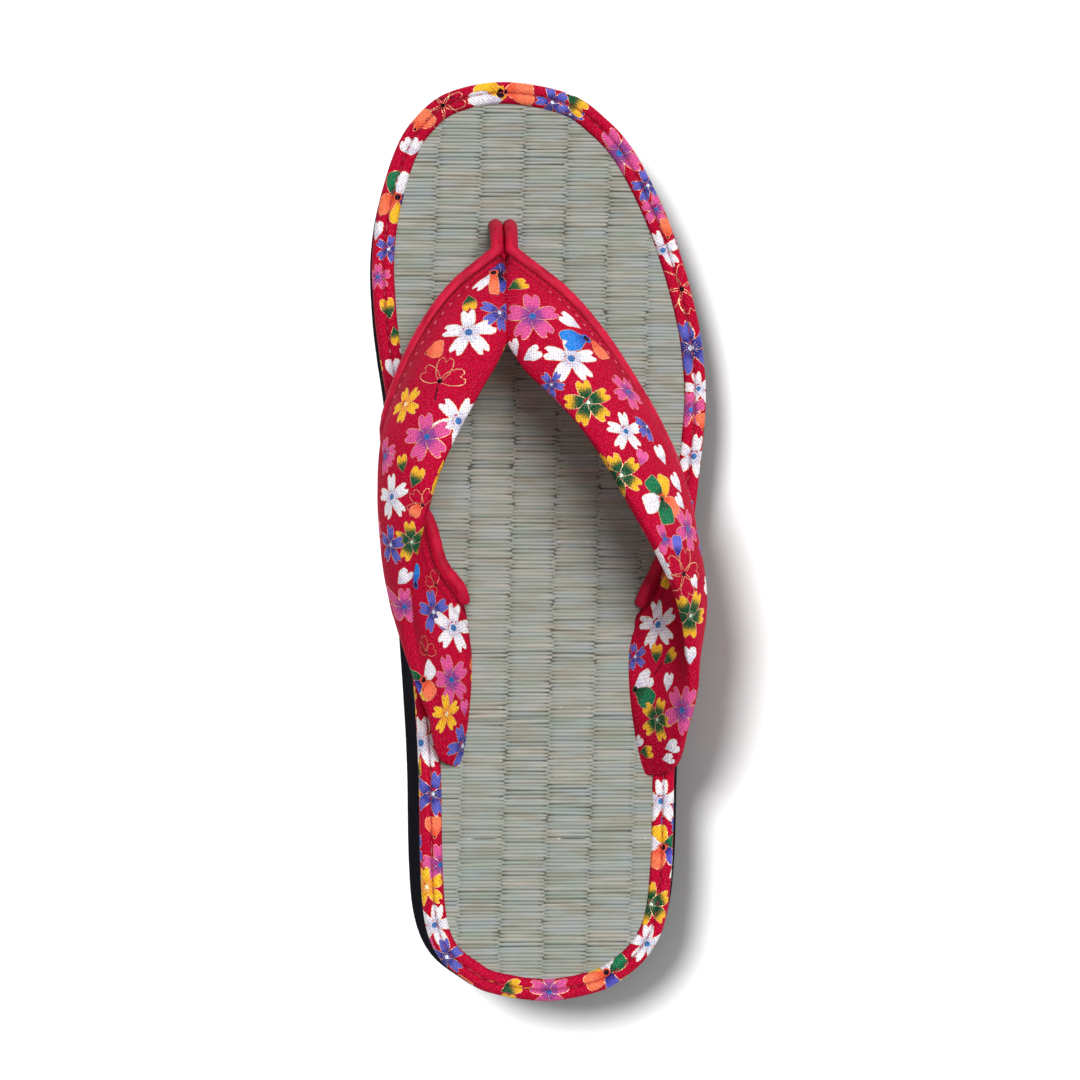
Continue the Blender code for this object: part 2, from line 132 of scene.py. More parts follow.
def smoothCurve(points, steps, closed=False):
    points = np.asarray(points, float)
    if closed:
        before, starts, after, far = (np.roll(points, shift, axis=0) for shift in (1, 0, -1, -2))
    else:
        padded = np.vstack([2 * points[0] - points[1], points, 2 * points[-1] - points[-2]])
        before, starts, after, far = padded[:-3], padded[1:-2], padded[2:-1], padded[3:]
    t = np.linspace(0, 1, steps, endpoint=False).reshape(1, -1, 1)
    before, starts, after, far = (part[:, None, :] for part in (before, starts, after, far))
    curve = (
        (2 * t**3 - 3 * t**2 + 1) * starts
        + (t**3 - 2 * t**2 + t) * (after - before) / 2
        + (3 * t**2 - 2 * t**3) * after
        + (t**3 - t**2) * (far - starts) / 2
    ).reshape(-1, points.shape[1])
    return curve if closed else np.vstack([curve, points[-1]])


def alongProfile(name, y):
    rows = np.array(profileRows)
    at = rows[:, 0] * shoe["length"]
    values = rows[:, profileColumn[name]]
    slopes = np.diff(values) / np.diff(at)
    product = slopes[:-1] * slopes[1:]
    tangents = np.zeros_like(values)
    rising = product > 0
    tangents[1:-1][rising] = 2 * product[rising] / (slopes[:-1] + slopes[1:])[rising]
    index = np.clip(np.searchsorted(at, y) - 1, 0, len(at) - 2)
    step = at[index + 1] - at[index]
    t = (y - at[index]) / step
    return (
        (2 * t**3 - 3 * t**2 + 1) * values[index]
        + (t**3 - 2 * t**2 + t) * step * tangents[index]
        + (3 * t**2 - 2 * t**3) * values[index + 1]
        + (t**3 - t**2) * step * tangents[index + 1]
    )


def soleBottom(y):
    return shoe["archRise"] * alongProfile("arch", y) + shoe["toeSpring"] * alongProfile("spring", y)


def soleTop(y):
    wedge = (shoe["heelHeight"] - shoe["ballHeight"]) * alongProfile("top", y)
    return shoe["ballHeight"] + wedge + shoe["toeSpring"] * alongProfile("spring", y)


def matTop(y):
    return soleTop(y) + shoe["gap"] + shoe["matThickness"]


def footbedOutline(steps):
    rows = np.array(outlineRows)
    along = rows[:, 0] * shoe["length"]
    lateral = np.column_stack([rows[:, 2] * shoe["ballWidth"], along])
    medial = np.column_stack([-rows[:, 1] * shoe["ballWidth"], along])
    heel, toe = (np.array(tip) * (shoe["ballWidth"], shoe["length"]) for tip in (heelTip, toeTip))
    return smoothCurve(np.vstack([[heel], lateral, [toe], medial[::-1]]), steps, closed=True)


def outset(outline, distance):
    tangent = np.roll(outline, -1, axis=0) - np.roll(outline, 1, axis=0)
    tangent /= np.linalg.norm(tangent, axis=1, keepdims=True)
    normal = np.column_stack([tangent[:, 1], -tangent[:, 0]])
    return outline + normal * np.reshape(distance, (-1, 1))


def hexColour(code, alpha=1.0):
    # An sRGB hex value as linear colour
    parts = [int(code[i : i + 2], 16) / 255 for i in (1, 3, 5)]
    return (*[c / 12.92 if c <= 0.04045 else ((c + 0.055) / 1.055) ** 2.4 for c in parts], alpha)


def addNode(tree, kind, settings=None, inputs=None):
    # Adds a node. Each input is a value or another node's socket.
    node = tree.nodes.new(kind)
    for name, value in (settings or {}).items():
        setattr(node, name, value)
    for key, value in (inputs or {}).items():
        if isinstance(value, bpy.types.NodeSocket):
            tree.links.new(value, node.inputs[key])
        else:
            node.inputs[key].default_value = value
    return node


def maths(tree, operation, *values):
    return addNode(tree, "ShaderNodeMath", {"operation": operation}, dict(enumerate(values))).outputs[0]


def smoothStep(tree, value, low, high):
    inputs = {"Value": value, "From Min": low, "From Max": high}
    return addNode(tree, "ShaderNodeMapRange", {"interpolation_type": "SMOOTHSTEP"}, inputs).outputs["Result"]


def mixColour(tree, factor, first, second):
    # Mixes two colours, each a socket or an sRGB hex value
    first, second = (hexColour(colour) if isinstance(colour, str) else colour for colour in (first, second))
    return addNode(tree, "ShaderNodeMix", {"data_type": "RGBA"}, {0: factor, 6: first, 7: second}).outputs[2]


def scaled(tree, colour, factor):
    inputs = {0: colour, "Scale": factor}
    return addNode(tree, "ShaderNodeVectorMath", {"operation": "SCALE"}, inputs).outputs[0]


def noise(tree, place, scale, detail=2.0, dimensions="3D"):
    inputs = {"Vector": place, "Scale": scale, "Detail": detail}
    return addNode(tree, "ShaderNodeTexNoise", {"noise_dimensions": dimensions}, inputs).outputs[0]


def stretched(tree, place, scale, shift=(0, 0, 0)):
    return addNode(tree, "ShaderNodeMapping", None, {0: place, 1: shift, 3: scale}).outputs[0]


def attribute(tree, name):
    return addNode(tree, "ShaderNodeAttribute", {"attribute_name": name}).outputs


def ownPlace(tree):
    return addNode(tree, "ShaderNodeTexCoord").outputs["Object"]


def curveThrough(tree, value, points):
    # A value looked up on a curve through these points
    node = addNode(tree, "ShaderNodeFloatCurve", None, {"Value": value})
    curve = node.mapping.curves[0].points
    curve[0].location, curve[1].location = points[0], points[-1]
    for point in points[1:-1]:
        curve.new(*point)
    node.mapping.update()
    return node.outputs[0]


def newMaterial(name, constants):
    # A Principled BSDF with its constant sockets set, ready for its pattern
    material = bpy.data.materials.new(name)
    material.use_nodes = True
    for socket, value in constants.items():
        material.node_tree.nodes["Principled BSDF"].inputs[socket].default_value = value
    return material, material.node_tree


def patterned(material, values, relief=None):
    # Links values to the surface. A relief is the bump's strength, its depth and the height that drives it.
    tree = material.node_tree
    if relief:
        inputs = dict(zip(("Strength", "Distance", "Height"), relief))
        values["Normal"] = addNode(tree, "ShaderNodeBump", None, inputs).outputs[0]
    for socket, value in values.items():
        tree.links.new(value, tree.nodes["Principled BSDF"].inputs[socket])
    return material


def speckled(name, constants, first, second, scale, detail=2.0):
    # A new material, its tree, and two colours mixed by a fine grain
    material, tree = newMaterial(name, constants)
    return material, tree, mixColour(tree, noise(tree, ownPlace(tree), scale, detail), first, second)


def sceneObject(name, data):
    made = bpy.data.objects.new(name, data)
    bpy.context.scene.collection.objects.link(made)
    return made


def meshObject(name, points, faces, material, sharp=None, closed=True):
    # A smooth mesh, turned outwards where it is closed, with edges sharper than an angle in degrees kept
    mesh = bpy.data.meshes.new(name)
    mesh.from_pydata(np.asarray(points).tolist(), [], faces)
    if closed:
        shape = bmesh.new()
        shape.from_mesh(mesh)
        bmesh.ops.recalc_face_normals(shape, faces=shape.faces)
        shape.to_mesh(mesh)
        shape.free()
    mesh.shade_smooth()
    if sharp:
        mesh.set_sharp_from_angle(angle=math.radians(sharp))
    mesh.materials.append(material)
    return sceneObject(name, mesh)


def tubeFaces(ringCount, size, closed=False):
    # Quads between rings. Their corners run ring, ring, next ring, next ring.
    ring = np.arange(ringCount if closed else ringCount - 1)[:, None]
    point = np.arange(size)[None, :]
    here, there = ring * size, (ring + 1) % ringCount * size
    after = (point + 1) % size
    corners = [here + point, here + after, there + after, there + point]
    return np.stack(corners, axis=2).reshape(-1, 4).tolist()


def cappedTube(name, rings, material, sharp=None):
    # A piece over rings of points, with a fan at either end, and its quads
    count, size = rings.shape[:2]
    quads = tubeFaces(count, size)
    fans = [
        (start + point, start + (point + 1) % size, middle)
        for start, middle in ((0, count * size), ((count - 1) * size, count * size + 1))
        for point in range(size)
    ]
    points = np.vstack([rings.reshape(-1, 3), rings[0].mean(axis=0), rings[-1].mean(axis=0)])
    return meshObject(name, points, quads + fans, material, sharp), np.array(quads)


def lengthsAlong(line, closed=False):
    # How far along the line each point lies, and the first one again where it is closed
    line = np.vstack([line, line[:1]]) if closed else line
    return np.concatenate([[0], np.cumsum(np.linalg.norm(np.diff(line, axis=0), axis=1))])


def quadPlaces(u, starts, ends):
    # Cloth coordinates at the corners of the quads between rings: u from ring to ring, then starts to ends
    starts, ends = (np.broadcast_to(v, (len(u), v.shape[-1])) for v in (starts, ends))
    u = np.broadcast_to(u[:, None], starts.shape)
    corners = ((u[:-1], starts[:-1]), (u[:-1], ends[:-1]), (u[1:], ends[1:]), (u[1:], starts[1:]))
    return np.stack([np.stack(corner, axis=2) for corner in corners], axis=2).reshape(-1, 4, 2)


def storePlaces(mesh, quads, maps, elsewhere=0.0):
    # Puts coordinates at the quads' corners on a mesh whose faces may have been turned round
    loopVertex = np.zeros(len(mesh.loops), int)
    mesh.loops.foreach_get("vertex_index", loopVertex)
    starts = np.zeros(len(mesh.polygons), int)
    mesh.polygons.foreach_get("loop_start", starts)
    loops = starts[: len(quads), None] + np.arange(4)
    corner = (loopVertex[loops][:, :, None] == quads[:, None, :]).argmax(axis=2)[:, :, None]
    for name, values in maps.items():
        places = np.full((len(mesh.loops), 2), elsewhere)
        places[loops.ravel()] = np.take_along_axis(values, corner, axis=1).reshape(-1, 2)
        mesh.uv_layers.new(name=name).data.foreach_set("uv", places.ravel())


# The photo's scale on the footbed and where the camera that took it stood over the shoe
photo = {"pixelsPerMetre": 3740, "middle": (691.5, 515), "eye": (-0.0405, -0.0067, 0.944), "bed": 0.024}


def photoPoint(x, y):
    middle, scale = photo["middle"], photo["pixelsPerMetre"]
    return ((x - middle[0]) / scale, (middle[1] - y) / scale, photo["bed"])


# Straps

strap = {
    "stepsPerRow": 20,
    "outerPoints": (10, 44, 12),
    "innerPoints": (10, 34, 9),
    "thickness": 5.0 * mm,
    "slitThickness": 3.0 * mm,
    "cadCord": 3.55 * mm,
    "underCord": 0.8 * mm,
    "plainEdge": 3.9 * mm,
    "valley": 1.95 * mm,
    "valleyHalf": 0.35 * mm,
    "plainCrown": 0.28 * mm,
    "seamHalf": 0.95 * mm,
    "paddingRise": 9.0 * mm,
    "paddingPower": 2.4,
    "rearEnd": 0.05,
    "rearRound": 0.5,
    "jointDip": 0.45,
    "jointReach": 2.887 * mm,
    "overlap": 1.0 * mm,
    "pucker": 0.13 * mm,
    "puckerEvery": 3.4 * mm,
    "puckerReach": 1.3 * mm,
    "swell": 0.16 * mm,
    "swellEvery": 7.0 * mm,
    "bank": 0.45,
    "bankAt": 2.0,
    # Painted shade: how dark it is and how far it reaches at the valley, the plain edge's seam and the joint
    "shades": {"valley": (0.9, 0.55 * mm), "plainEdge": (0.45, 0.40 * mm)},
    "jointShade": (0.75, 0.9 * mm),
    "fill": 0.8,
}

# Creases: strap, row along, share across, length, width and depth in mm, turn from the strap's
# line in degrees
creases = (
    ("medial", 0.8, 0.30, 9, 2.2, 0.45, 62),
    ("medial", 1.5, 0.18, 8, 2.0, 0.35, 50),
    ("medial", 5.2, 0.25, 11, 2.8, 0.35, 70),
    ("medial", 7.6, 0.42, 12, 2.6, 0.5, 20),
    ("medial", 9.2, 0.55, 9, 2.2, 0.5, -15),
    ("lateral", 0.8, 0.28, 9, 2.2, 0.45, 118),
    ("lateral", 1.6, 0.20, 8, 2.0, 0.35, 130),
    ("lateral", 5.0, 0.22, 11, 2.8, 0.35, 110),
    ("lateral", 7.4, 0.40, 12, 2.6, 0.5, 160),
    ("lateral", 9.4, 0.50, 10, 2.4, 0.5, 15),
)


def placed(triples):
    across, along, rise = np.asarray(triples, float).T
    y = along * shoe["length"]
    up = np.where(rise > 0, rise * shoe["strapRise"], rise * shoe["matThickness"])
    return np.column_stack([across * shoe["ballWidth"], y, matTop(y) + up])


def frontRail(rows, side, steps):
    aside = (strap["cadCord"] + shoe["gap"]) / 2
    start = shoe["seam"] + side * aside
    edge = placed([row[2] for row in rows])
    edge[0, 0] = start
    post = placed([(start / shoe["ballWidth"], along, rise) for along, rise in postCordRows])
    rail = smoothCurve(np.vstack([post, edge]), steps)
    rail[:, 0] = shoe["seam"] + side * np.maximum(side * (rail[:, 0] - shoe["seam"]), aside)
    return rail


def spread(low, high, count, power=1.0):
    # Shares from low to high, one column for each point, bunched towards low where power is above 1
    t = (np.arange(count) / count) ** power
    return np.reshape(low, (-1, 1)) + np.reshape(high - low, (-1, 1)) * t


def halfThickness(fromFront, share, thick):
    # From the flat plain edge, with its valley, up to the full padding and round at the rear
    past = np.clip((fromFront - strap["plainEdge"]) / strap["paddingRise"], 0, 1)
    rise = (strap["thickness"] / 2 - strap["seamHalf"]) * (1 - (1 - past) ** strap["paddingPower"])
    across = np.clip((fromFront - strap["underCord"]) / (strap["plainEdge"] - strap["underCord"]), 0, 1)
    plain = strap["valleyHalf"] + (strap["seamHalf"] - strap["valleyHalf"]) * across
    plain += strap["plainCrown"] * np.sin(across * math.pi)
    half = np.where(fromFront > strap["plainEdge"] + 1e-7, strap["seamHalf"] + rise, plain)
    toRear = np.clip(1 - share / strap["rearRound"], 0, 1)
    return half * (1 - toRear**4) ** 0.25 * (thick / strap["thickness"])[:, None]


def creaseDepth(name, along, share, width):
    # How deep the strap's listed creases go at each point, each with a low bank on either side
    depth = np.zeros_like(share)
    for which, row, shareAt, lengthMm, widthMm, depthMm, turn in creases:
        if which != name:
            continue
        a = along[:, None] - along[int(row * strap["stepsPerRow"])]
        b = (share - shareAt) * width[:, None]
        cosine, sine = math.cos(math.radians(turn)), math.sin(math.radians(turn))
        lengthwise = (a * cosine + b * sine) / (lengthMm * mm / 2)
        crosswise = (b * cosine - a * sine) / (widthMm * mm / 2)
        bank = strap["bank"] * np.exp(-((np.abs(crosswise) - strap["bankAt"]) ** 2))
        depth += depthMm * mm * np.exp(-(lengthwise**2)) * (np.exp(-(crosswise**2)) - bank)
    return depth


def strapRings(name, rows, side):
    # Rings of points from joint to slit, how far along they lie, the front's place in them and
    # the shade painted at the joint, in the valley and along the plain edge's seam
    steps = strap["stepsPerRow"]
    rear, mid = (smoothCurve(placed([row[i] for row in rows]), steps) for i in (0, 1))
    front = frontRail(rows, side, steps)[-len(rear) :]
    full = np.clip(smoothCurve([[row[3]] for row in rows], steps)[:, 0], 0, 1)
    thick = strap["slitThickness"] + (strap["thickness"] - strap["slitThickness"]) * full
    width = np.linalg.norm(mid - rear, axis=1) + np.linalg.norm(front - mid, axis=1)
    end, seam = (1 - strap[edge] / width for edge in ("underCord", "plainEdge"))
    rearEnd = np.full_like(end, strap["rearEnd"])
    outer, inner = (
        np.hstack([spread(0, rearEnd, first, 2.0), spread(rearEnd, seam, second), spread(seam, end, third)])
        for first, second, third in (strap["outerPoints"], strap["innerPoints"])
    )
    share = np.hstack([outer, end[:, None], inner[:, :0:-1]])
    facing = np.hstack([np.ones_like(outer), np.zeros((len(end), 1)), -np.ones_like(inner[:, 1:])])
    fromFront = (1 - share) * width[:, None]

    # A curved sheet through the rear, middle and front rails, and its normals
    s = share[:, :, None]
    rails = [rail[:, None, :] for rail in (rear, mid, front)]
    surface = (2 * s**2 - 3 * s + 1) * rails[0] + (4 * s - 4 * s**2) * rails[1] + (2 * s**2 - s) * rails[2]
    acrossWay = (4 * s - 3) * rails[0] + (4 - 8 * s) * rails[1] + (4 * s - 1) * rails[2]
    middleWay = np.gradient((rear + 2 * mid + front) / 4, axis=0)[:, None, :]
    alongWay = np.gradient(surface, axis=0) * 0.999 + middleWay * 0.001
    normal = np.cross(alongWay, acrossWay) * side
    normal /= np.linalg.norm(normal, axis=2, keepdims=True)

    # Thickness, thinned at the joint, and the stitching's puckers, a slow swell and the creases
    along = lengthsAlong(mid)
    joint = 1 - strap["jointDip"] * np.exp(-((along / strap["jointReach"]) ** 2))
    half = halfThickness(fromFront, share, thick) * np.where(facing > 0, joint[:, None], 1)
    pucker = strap["pucker"] * np.sin(along * 2 * math.pi / strap["puckerEvery"])[:, None]
    pucker = pucker * np.exp(-np.abs(fromFront - strap["plainEdge"]) / strap["puckerReach"])
    swell = strap["swell"] * np.sin(along / strap["swellEvery"])[:, None] * np.sin(share * math.pi)
    offset = half * facing + (pucker + swell) * facing * (half > 0.3 * mm)
    offset -= creaseDepth(name, along, share, width) * (facing > 0) * (half > 0.5 * mm)
    rings = surface + normal * offset[:, :, None]
    rings[0, :, 0] -= side * strap["overlap"]
    # Shade painted into the cloth's colour: dark at the joint, in the valley beside the cord and along the
    # plain edge's seam
    paintedShade = strap["jointShade"][0] * np.exp(-along / strap["jointShade"][1])[:, None]
    for edge, (amount, reach) in strap["shades"].items():
        paintedShade = paintedShade + amount * np.exp(-(((fromFront - strap[edge]) / reach) ** 2))
    return rings, along, outer.shape[1], np.clip(paintedShade, 0, 1)


def strapPiece(name, rows, side, material):
    rings, along, front, paintedShade = strapRings(name, rows, side)
    made, quads = cappedTube("strap_" + name, rings, material)
    girth = np.cumsum(np.linalg.norm(np.roll(rings, -1, axis=1) - rings, axis=2), axis=1)
    girth = np.hstack([np.zeros((len(rings), 1)), girth])
    segment = np.arange(rings.shape[1])
    shift = np.where(segment < front, 0, girth[:, -1:])
    seam = front - strap["outerPoints"][2]
    return {
        "made": made,
        "quads": quads,
        "uv": quadPlaces(along, girth[:, :-1] - shift, girth[:, 1:] - shift),
        "plain": np.tile((segment >= seam) & (segment < front + 3), len(rings) - 1),
        "paintedShade": paintedShade.ravel(),
        "seam": rings[:, seam],
    }


# Edge binding

binding = {
    "stepsPerRow": 24,
    "pointsPerRow": 4,
    "pucker": 0.10 * mm,
    "puckerEvery": 3.1 * mm,
    "puckerReach": 1.2 * mm,
    "shade": (0.5, 0.45 * mm),
    "stitch": 2.0 * mm,
}

# The tape's section from its inner edge outwards and down the side: out and up in mm from the
# mat's upper edge
bindingSection = (
    (-5.70, 0.05),
    (-5.72, 0.75),
    (-5.25, 1.28),
    (-4.30, 1.55),
    (-3.45, 1.38),
    (-3.05, 1.02),
    (-2.65, 1.40),
    (-1.75, 1.62),
    (-0.85, 1.30),
    (-0.20, 0.45),
    (0.02, -0.80),
    (0.06, -2.40),
    (0.00, -4.00),
    (-0.10, -4.52),
    (-0.85, -4.52),
    (-0.90, -2.20),
    (-0.90, 0.05),
    (-3.20, 0.05),
)
stitchPoint = 5


def bindingPiece(material):
    outline = footbedOutline(binding["stepsPerRow"])
    section = smoothCurve(bindingSection, binding["pointsPerRow"], closed=True) * mm
    along, across = lengthsAlong(outline, closed=True), lengthsAlong(section, closed=True)
    ripple = np.sin(along[:-1] * 2 * math.pi / binding["puckerEvery"]) * binding["pucker"]
    stitchOut = bindingSection[stitchPoint][0] * mm
    rings = []
    for out, up in section:
        near = math.exp(-abs(out - stitchOut) / binding["puckerReach"]) if up > 0.5 * mm else 0
        plan = outset(outline, out)
        rings.append(np.column_stack([plan, matTop(plan[:, 1]) + up + ripple * near]))
    rings = np.stack(rings, axis=1)
    quads = tubeFaces(*rings.shape[:2], closed=True)
    stitchAt = stitchPoint * binding["pointsPerRow"]
    # Shade painted along the binding's stitch line
    amount, reach = binding["shade"]
    paintedShade = amount * np.exp(-(((across[:-1] - across[stitchAt]) / reach) ** 2))
    return {
        "made": meshObject("cotton_binding", rings.reshape(-1, 3), quads, material),
        "quads": np.array(quads),
        "uv": quadPlaces(along, across[:-1], across[1:]),
        "plain": np.zeros(len(quads), bool),
        "paintedShade": np.tile(paintedShade, len(rings)),
        "seam": np.vstack([rings[:, stitchAt], rings[:1, stitchAt]]),
    }


# What is printed on the cotton. petals: colour at the base and the tip, width as a share of length and the
# shape, 0 an outline only, 1 notched, 2 not notched, and after the point how much further the base colour
# reaches. heart: colour and radius as a share of the petal.
blossoms = {
    "white": {"petals": [("#DBD8E8", "#F4F2F8", 0.27, 1)], "heart": ("#3E78B4", 0.14)},
    "pink": {"petals": [("#90408E", "#E05898", 0.31, 1)], "heart": ("#2A6DB5", 0.13)},
    "violet": {"petals": [("#2B2E80", "#5C64C2", 0.27, 1)], "heart": ("#DCE2F2", 0.10)},
    "sun": {"petals": [("#F59A28", "#FBC22F", 0.28, 1)], "heart": ("#FFF3C4", 0.11)},
    "leafy": {"petals": [("#0B5233", "#FBBE2E", 0.30, 1.22)], "heart": ("#DDEBD8", 0.08)},
    "gold": {"petals": [("#E8B98A", "#E8B98A", 0.34, 0)], "heart": ("#14101A", 0.10)},
    "mixed": {
        "petals": [
            ("#F7AE2A", "#FBC22F", 0.36, 2),
            ("#0A5236", "#127A50", 0.34, 2),
            ("#E9E6F2", "#F6F3FA", 0.40, 2),
            ("#2C2C86", "#5A5FCB", 0.32, 2),
            ("#F05A3C", "#FF7E58", 0.38, 2),
        ],
        "heart": ("#14101A", 0.12),
    },
    "bud": {"petals": [("#0F5634", "#F9B92D", 0.38, 1.15)], "heart": ("#14101A", 0.05)},
    "slim white": {"petals": [("#DAD6EA", "#F6F3FA", 0.24, 1)], "heart": ("#14101A", 0.08)},
    "slim orange": {"petals": [("#F6603F", "#FF805A", 0.17, 2)], "heart": ("#14101A", 0.10)},
    "slim violet": {"petals": [("#1B1B4A", "#4A4FB0", 0.28, 1)], "heart": ("#14101A", 0.16)},
    "lone white": {"petals": [("#DAD6EA", "#F6F3FA", 0.42, 1)], "heart": None},
    "lone orange": {"petals": [("#F6603F", "#FF805A", 0.46, 2)], "heart": ("#14101A", 0.06)},
    "lone yellow": {"petals": [("#F7AE2A", "#FBC22F", 0.52, 2)], "heart": ("#14101A", 0.16)},
    "lone pink": {"petals": [("#C24E9C", "#EC62A4", 0.46, 1)], "heart": None},
    "lone blue": {"petals": [("#1266C4", "#2489E8", 0.44, 1)], "heart": ("#14101A", 0.12)},
    "lone green": {"petals": [("#0A5236", "#157B52", 0.40, 2)], "heart": ("#14101A", 0.08)},
    "lone violet": {"petals": [("#30308F", "#6A6EDA", 0.36, 2)], "heart": None},
    "stem": {"petals": [("#14101A", "#14101A", 0.045, 2)], "heart": None},
}

# Where each one lies: kind, photo x and y of its heart in pixels, petal length in pixels,
# direction of its first
# petal in degrees from the photo's right, and how many petals there are, or the petals' own directions
strapPrint = (
    ("stem", 590, 357, 20, 258, 1),
    ("stem", 576, 632, 20, 95, 1),
    ("stem", 806, 651, 16, 60, 1),
    ("gold", 591, 356, 26, 72, (72, 144, 15)),
    ("gold", 574, 480, 17, 60, 3),
    ("gold", 578, 628, 18, 30, 3),
    ("gold", 836, 549, 26, 80, 5),
    ("gold", 587, 560, 15, 100, 3),
    ("white", 620, 307, 28, 92, 5),
    ("pink", 684, 291, 27, 92, 5),
    ("slim white", 646, 249, 27, 212, 1),
    ("slim violet", 649, 250, 22, 60, (60, 110, -60)),
    ("slim orange", 645, 247, 31, -90, 1),
    ("violet", 651, 287, 20, 150, (150, 30, -80, 215, -20)),
    ("bud", 620, 271, 20, -88, 1),
    ("bud", 661, 263, 20, 28, 1),
    ("lone orange", 577, 328, 22, 24, 1),
    ("sun", 557, 379, 20, 98, 5),
    ("white", 610, 396, 26, 125, 5),
    ("pink", 578, 412, 25, 95, 5),
    ("pink", 536, 431, 19, 90, (90, -90, 40, -40)),
    ("bud", 554, 446, 17, 95, 1),
    ("bud", 564, 461, 20, 70, 1),
    ("white", 543, 472, 23, 90, 5),
    ("lone orange", 571, 479, 14, 235, 1),
    ("leafy", 563, 517, 21, 100, 5),
    ("violet", 542, 520, 20, 92, 5),
    ("lone white", 550, 558, 19, 48, 1),
    ("lone blue", 567, 560, 22, 95, 1),
    ("pink", 556, 582, 20, 90, 5),
    ("violet", 585, 587, 22, 100, 5),
    ("white", 605, 603, 25, 88, 5),
    ("pink", 603, 655, 25, 105, 5),
    ("mixed", 575, 655, 23, 0, (-72, 175, 42, 240, 300)),
    ("sun", 598, 689, 20, 92, 5),
    ("lone pink", 616, 690, 15, 90, 1),
    ("violet", 614, 721, 23, 100, 5),
    ("lone white", 668, 330, 17, 110, 1),
    ("lone white", 676, 334, 19, 35, 1),
    ("white", 723, 333, 28, 162, 5),
    ("lone blue", 738, 313, 30, 180, 1),
    ("lone white", 731, 302, 23, 142, 1),
    ("lone orange", 743, 314, 25, -52, 1),
    ("violet", 703, 359, 14, 60, 5),
    ("leafy", 740, 377, 25, 105, 5),
    ("pink", 780, 366, 21, 80, 5),
    ("white", 778, 406, 21, 100, 5),
    ("violet", 799, 401, 17, 150, (150, 230, 285)),
    ("lone pink", 793, 439, 16, 78, 1),
    ("lone white", 817, 438, 20, 112, 1),
    ("leafy", 773, 450, 23, 115, 5),
    ("mixed", 814, 474, 26, 0, (82, 122, 200, -76, -32)),
    ("lone green", 814, 474, 26, -78, 1),
    ("lone white", 833, 466, 20, 115, 1),
    ("lone white", 836, 483, 17, 120, 1),
    ("pink", 817, 514, 16, 110, (110, -100, -30)),
    ("pink", 840, 504, 22, 120, 5),
    ("lone violet", 830, 531, 21, 90, 1),
    ("lone white", 821, 541, 13, 170, 1),
    ("lone white", 849, 563, 14, 110, 1),
    ("leafy", 843, 591, 25, 130, 5),
    ("white", 810, 600, 25, 90, 5),
    ("bud", 808, 637, 18, 86, 1),
    ("bud", 817, 638, 18, 52, 1),
    ("violet", 787, 632, 14, 100, 5),
    ("lone white", 787, 663, 24, 38, 1),
    ("lone white", 819, 666, 18, 82, 1),
    ("lone green", 787, 665, 28, -38, 1),
    ("leafy", 809, 695, 22, 80, 5),
    ("lone white", 842, 639, 18, 95, 1),
    ("pink", 834, 686, 26, 70, 5),
    ("lone white", 818, 724, 18, 20, 1),
    ("lone white", 815, 735, 14, 10, 1),
    ("lone white", 789, 722, 13, 70, 1),
    ("bud", 793, 728, 17, 8, 1),
)
bindingPrint = (
    ("stem", 588, 75, 18, 15, 1),
    ("stem", 641, 946, 14, 80, 1),
    ("gold", 594, 80, 22, 90, 5),
    ("gold", 834, 263, 25, 80, 5),
    ("lone yellow", 652, 68, 26, 160, 1),
    ("lone orange", 657, 67, 28, 5, 1),
    ("lone white", 652, 74, 32, 192, 1),
    ("violet", 704, 76, 17, 100, 5),
    ("violet", 722, 88, 14, 60, 5),
    ("bud", 720, 69, 23, -38, 1),
    ("pink", 771, 127, 26, 118, 5),
    ("violet", 800, 159, 17, 110, 5),
    ("pink", 808, 183, 15, 90, 5),
    ("lone orange", 820, 211, 19, 88, 1),
    ("white", 815, 224, 20, 115, (115, 25, -45, 190)),
    ("violet", 843, 322, 27, 105, 5),
    ("white", 851, 363, 17, 100, 5),
    ("pink", 843, 384, 18, 95, 5),
    ("lone orange", 855, 404, 16, 90, 1),
    ("white", 846, 431, 22, 75, 5),
    ("lone blue", 844, 477, 20, 90, 1),
    ("lone orange", 566, 104, 23, 48, 1),
    ("lone white", 563, 129, 17, 62, 1),
    ("lone white", 562, 129, 17, 118, 1),
    ("mixed", 549, 172, 26, 0, (-88, 104, 60, -20, 205)),
    ("violet", 540, 224, 14, 75, 5),
    ("lone white", 527, 214, 18, 86, 1),
    ("pink", 529, 252, 13, 90, 5),
    ("bud", 541, 292, 19, 100, 1),
    ("bud", 545, 303, 17, -72, 1),
    ("lone white", 546, 352, 18, 95, 1),
    ("white", 572, 718, 26, 90, 5),
    ("violet", 584, 769, 22, 75, 5),
    ("lone orange", 586, 812, 20, 90, 1),
    ("pink", 592, 840, 21, 95, 5),
    ("sun", 578, 862, 20, 100, 5),
    ("white", 586, 900, 21, 80, 5),
    ("violet", 598, 932, 19, 100, 5),
    ("bud", 654, 966, 20, 20, 1),
    ("pink", 701, 967, 20, 92, 5),
    ("mixed", 758, 948, 24, 0, (150, 40, 100, -60, 215)),
    ("white", 799, 920, 20, 85, 5),
    ("leafy", 803, 880, 22, 95, 5),
    ("mixed", 815, 823, 22, 0, (100, 30, 160, -50, -110)),
    ("white", 813, 777, 22, 90, 5),
)

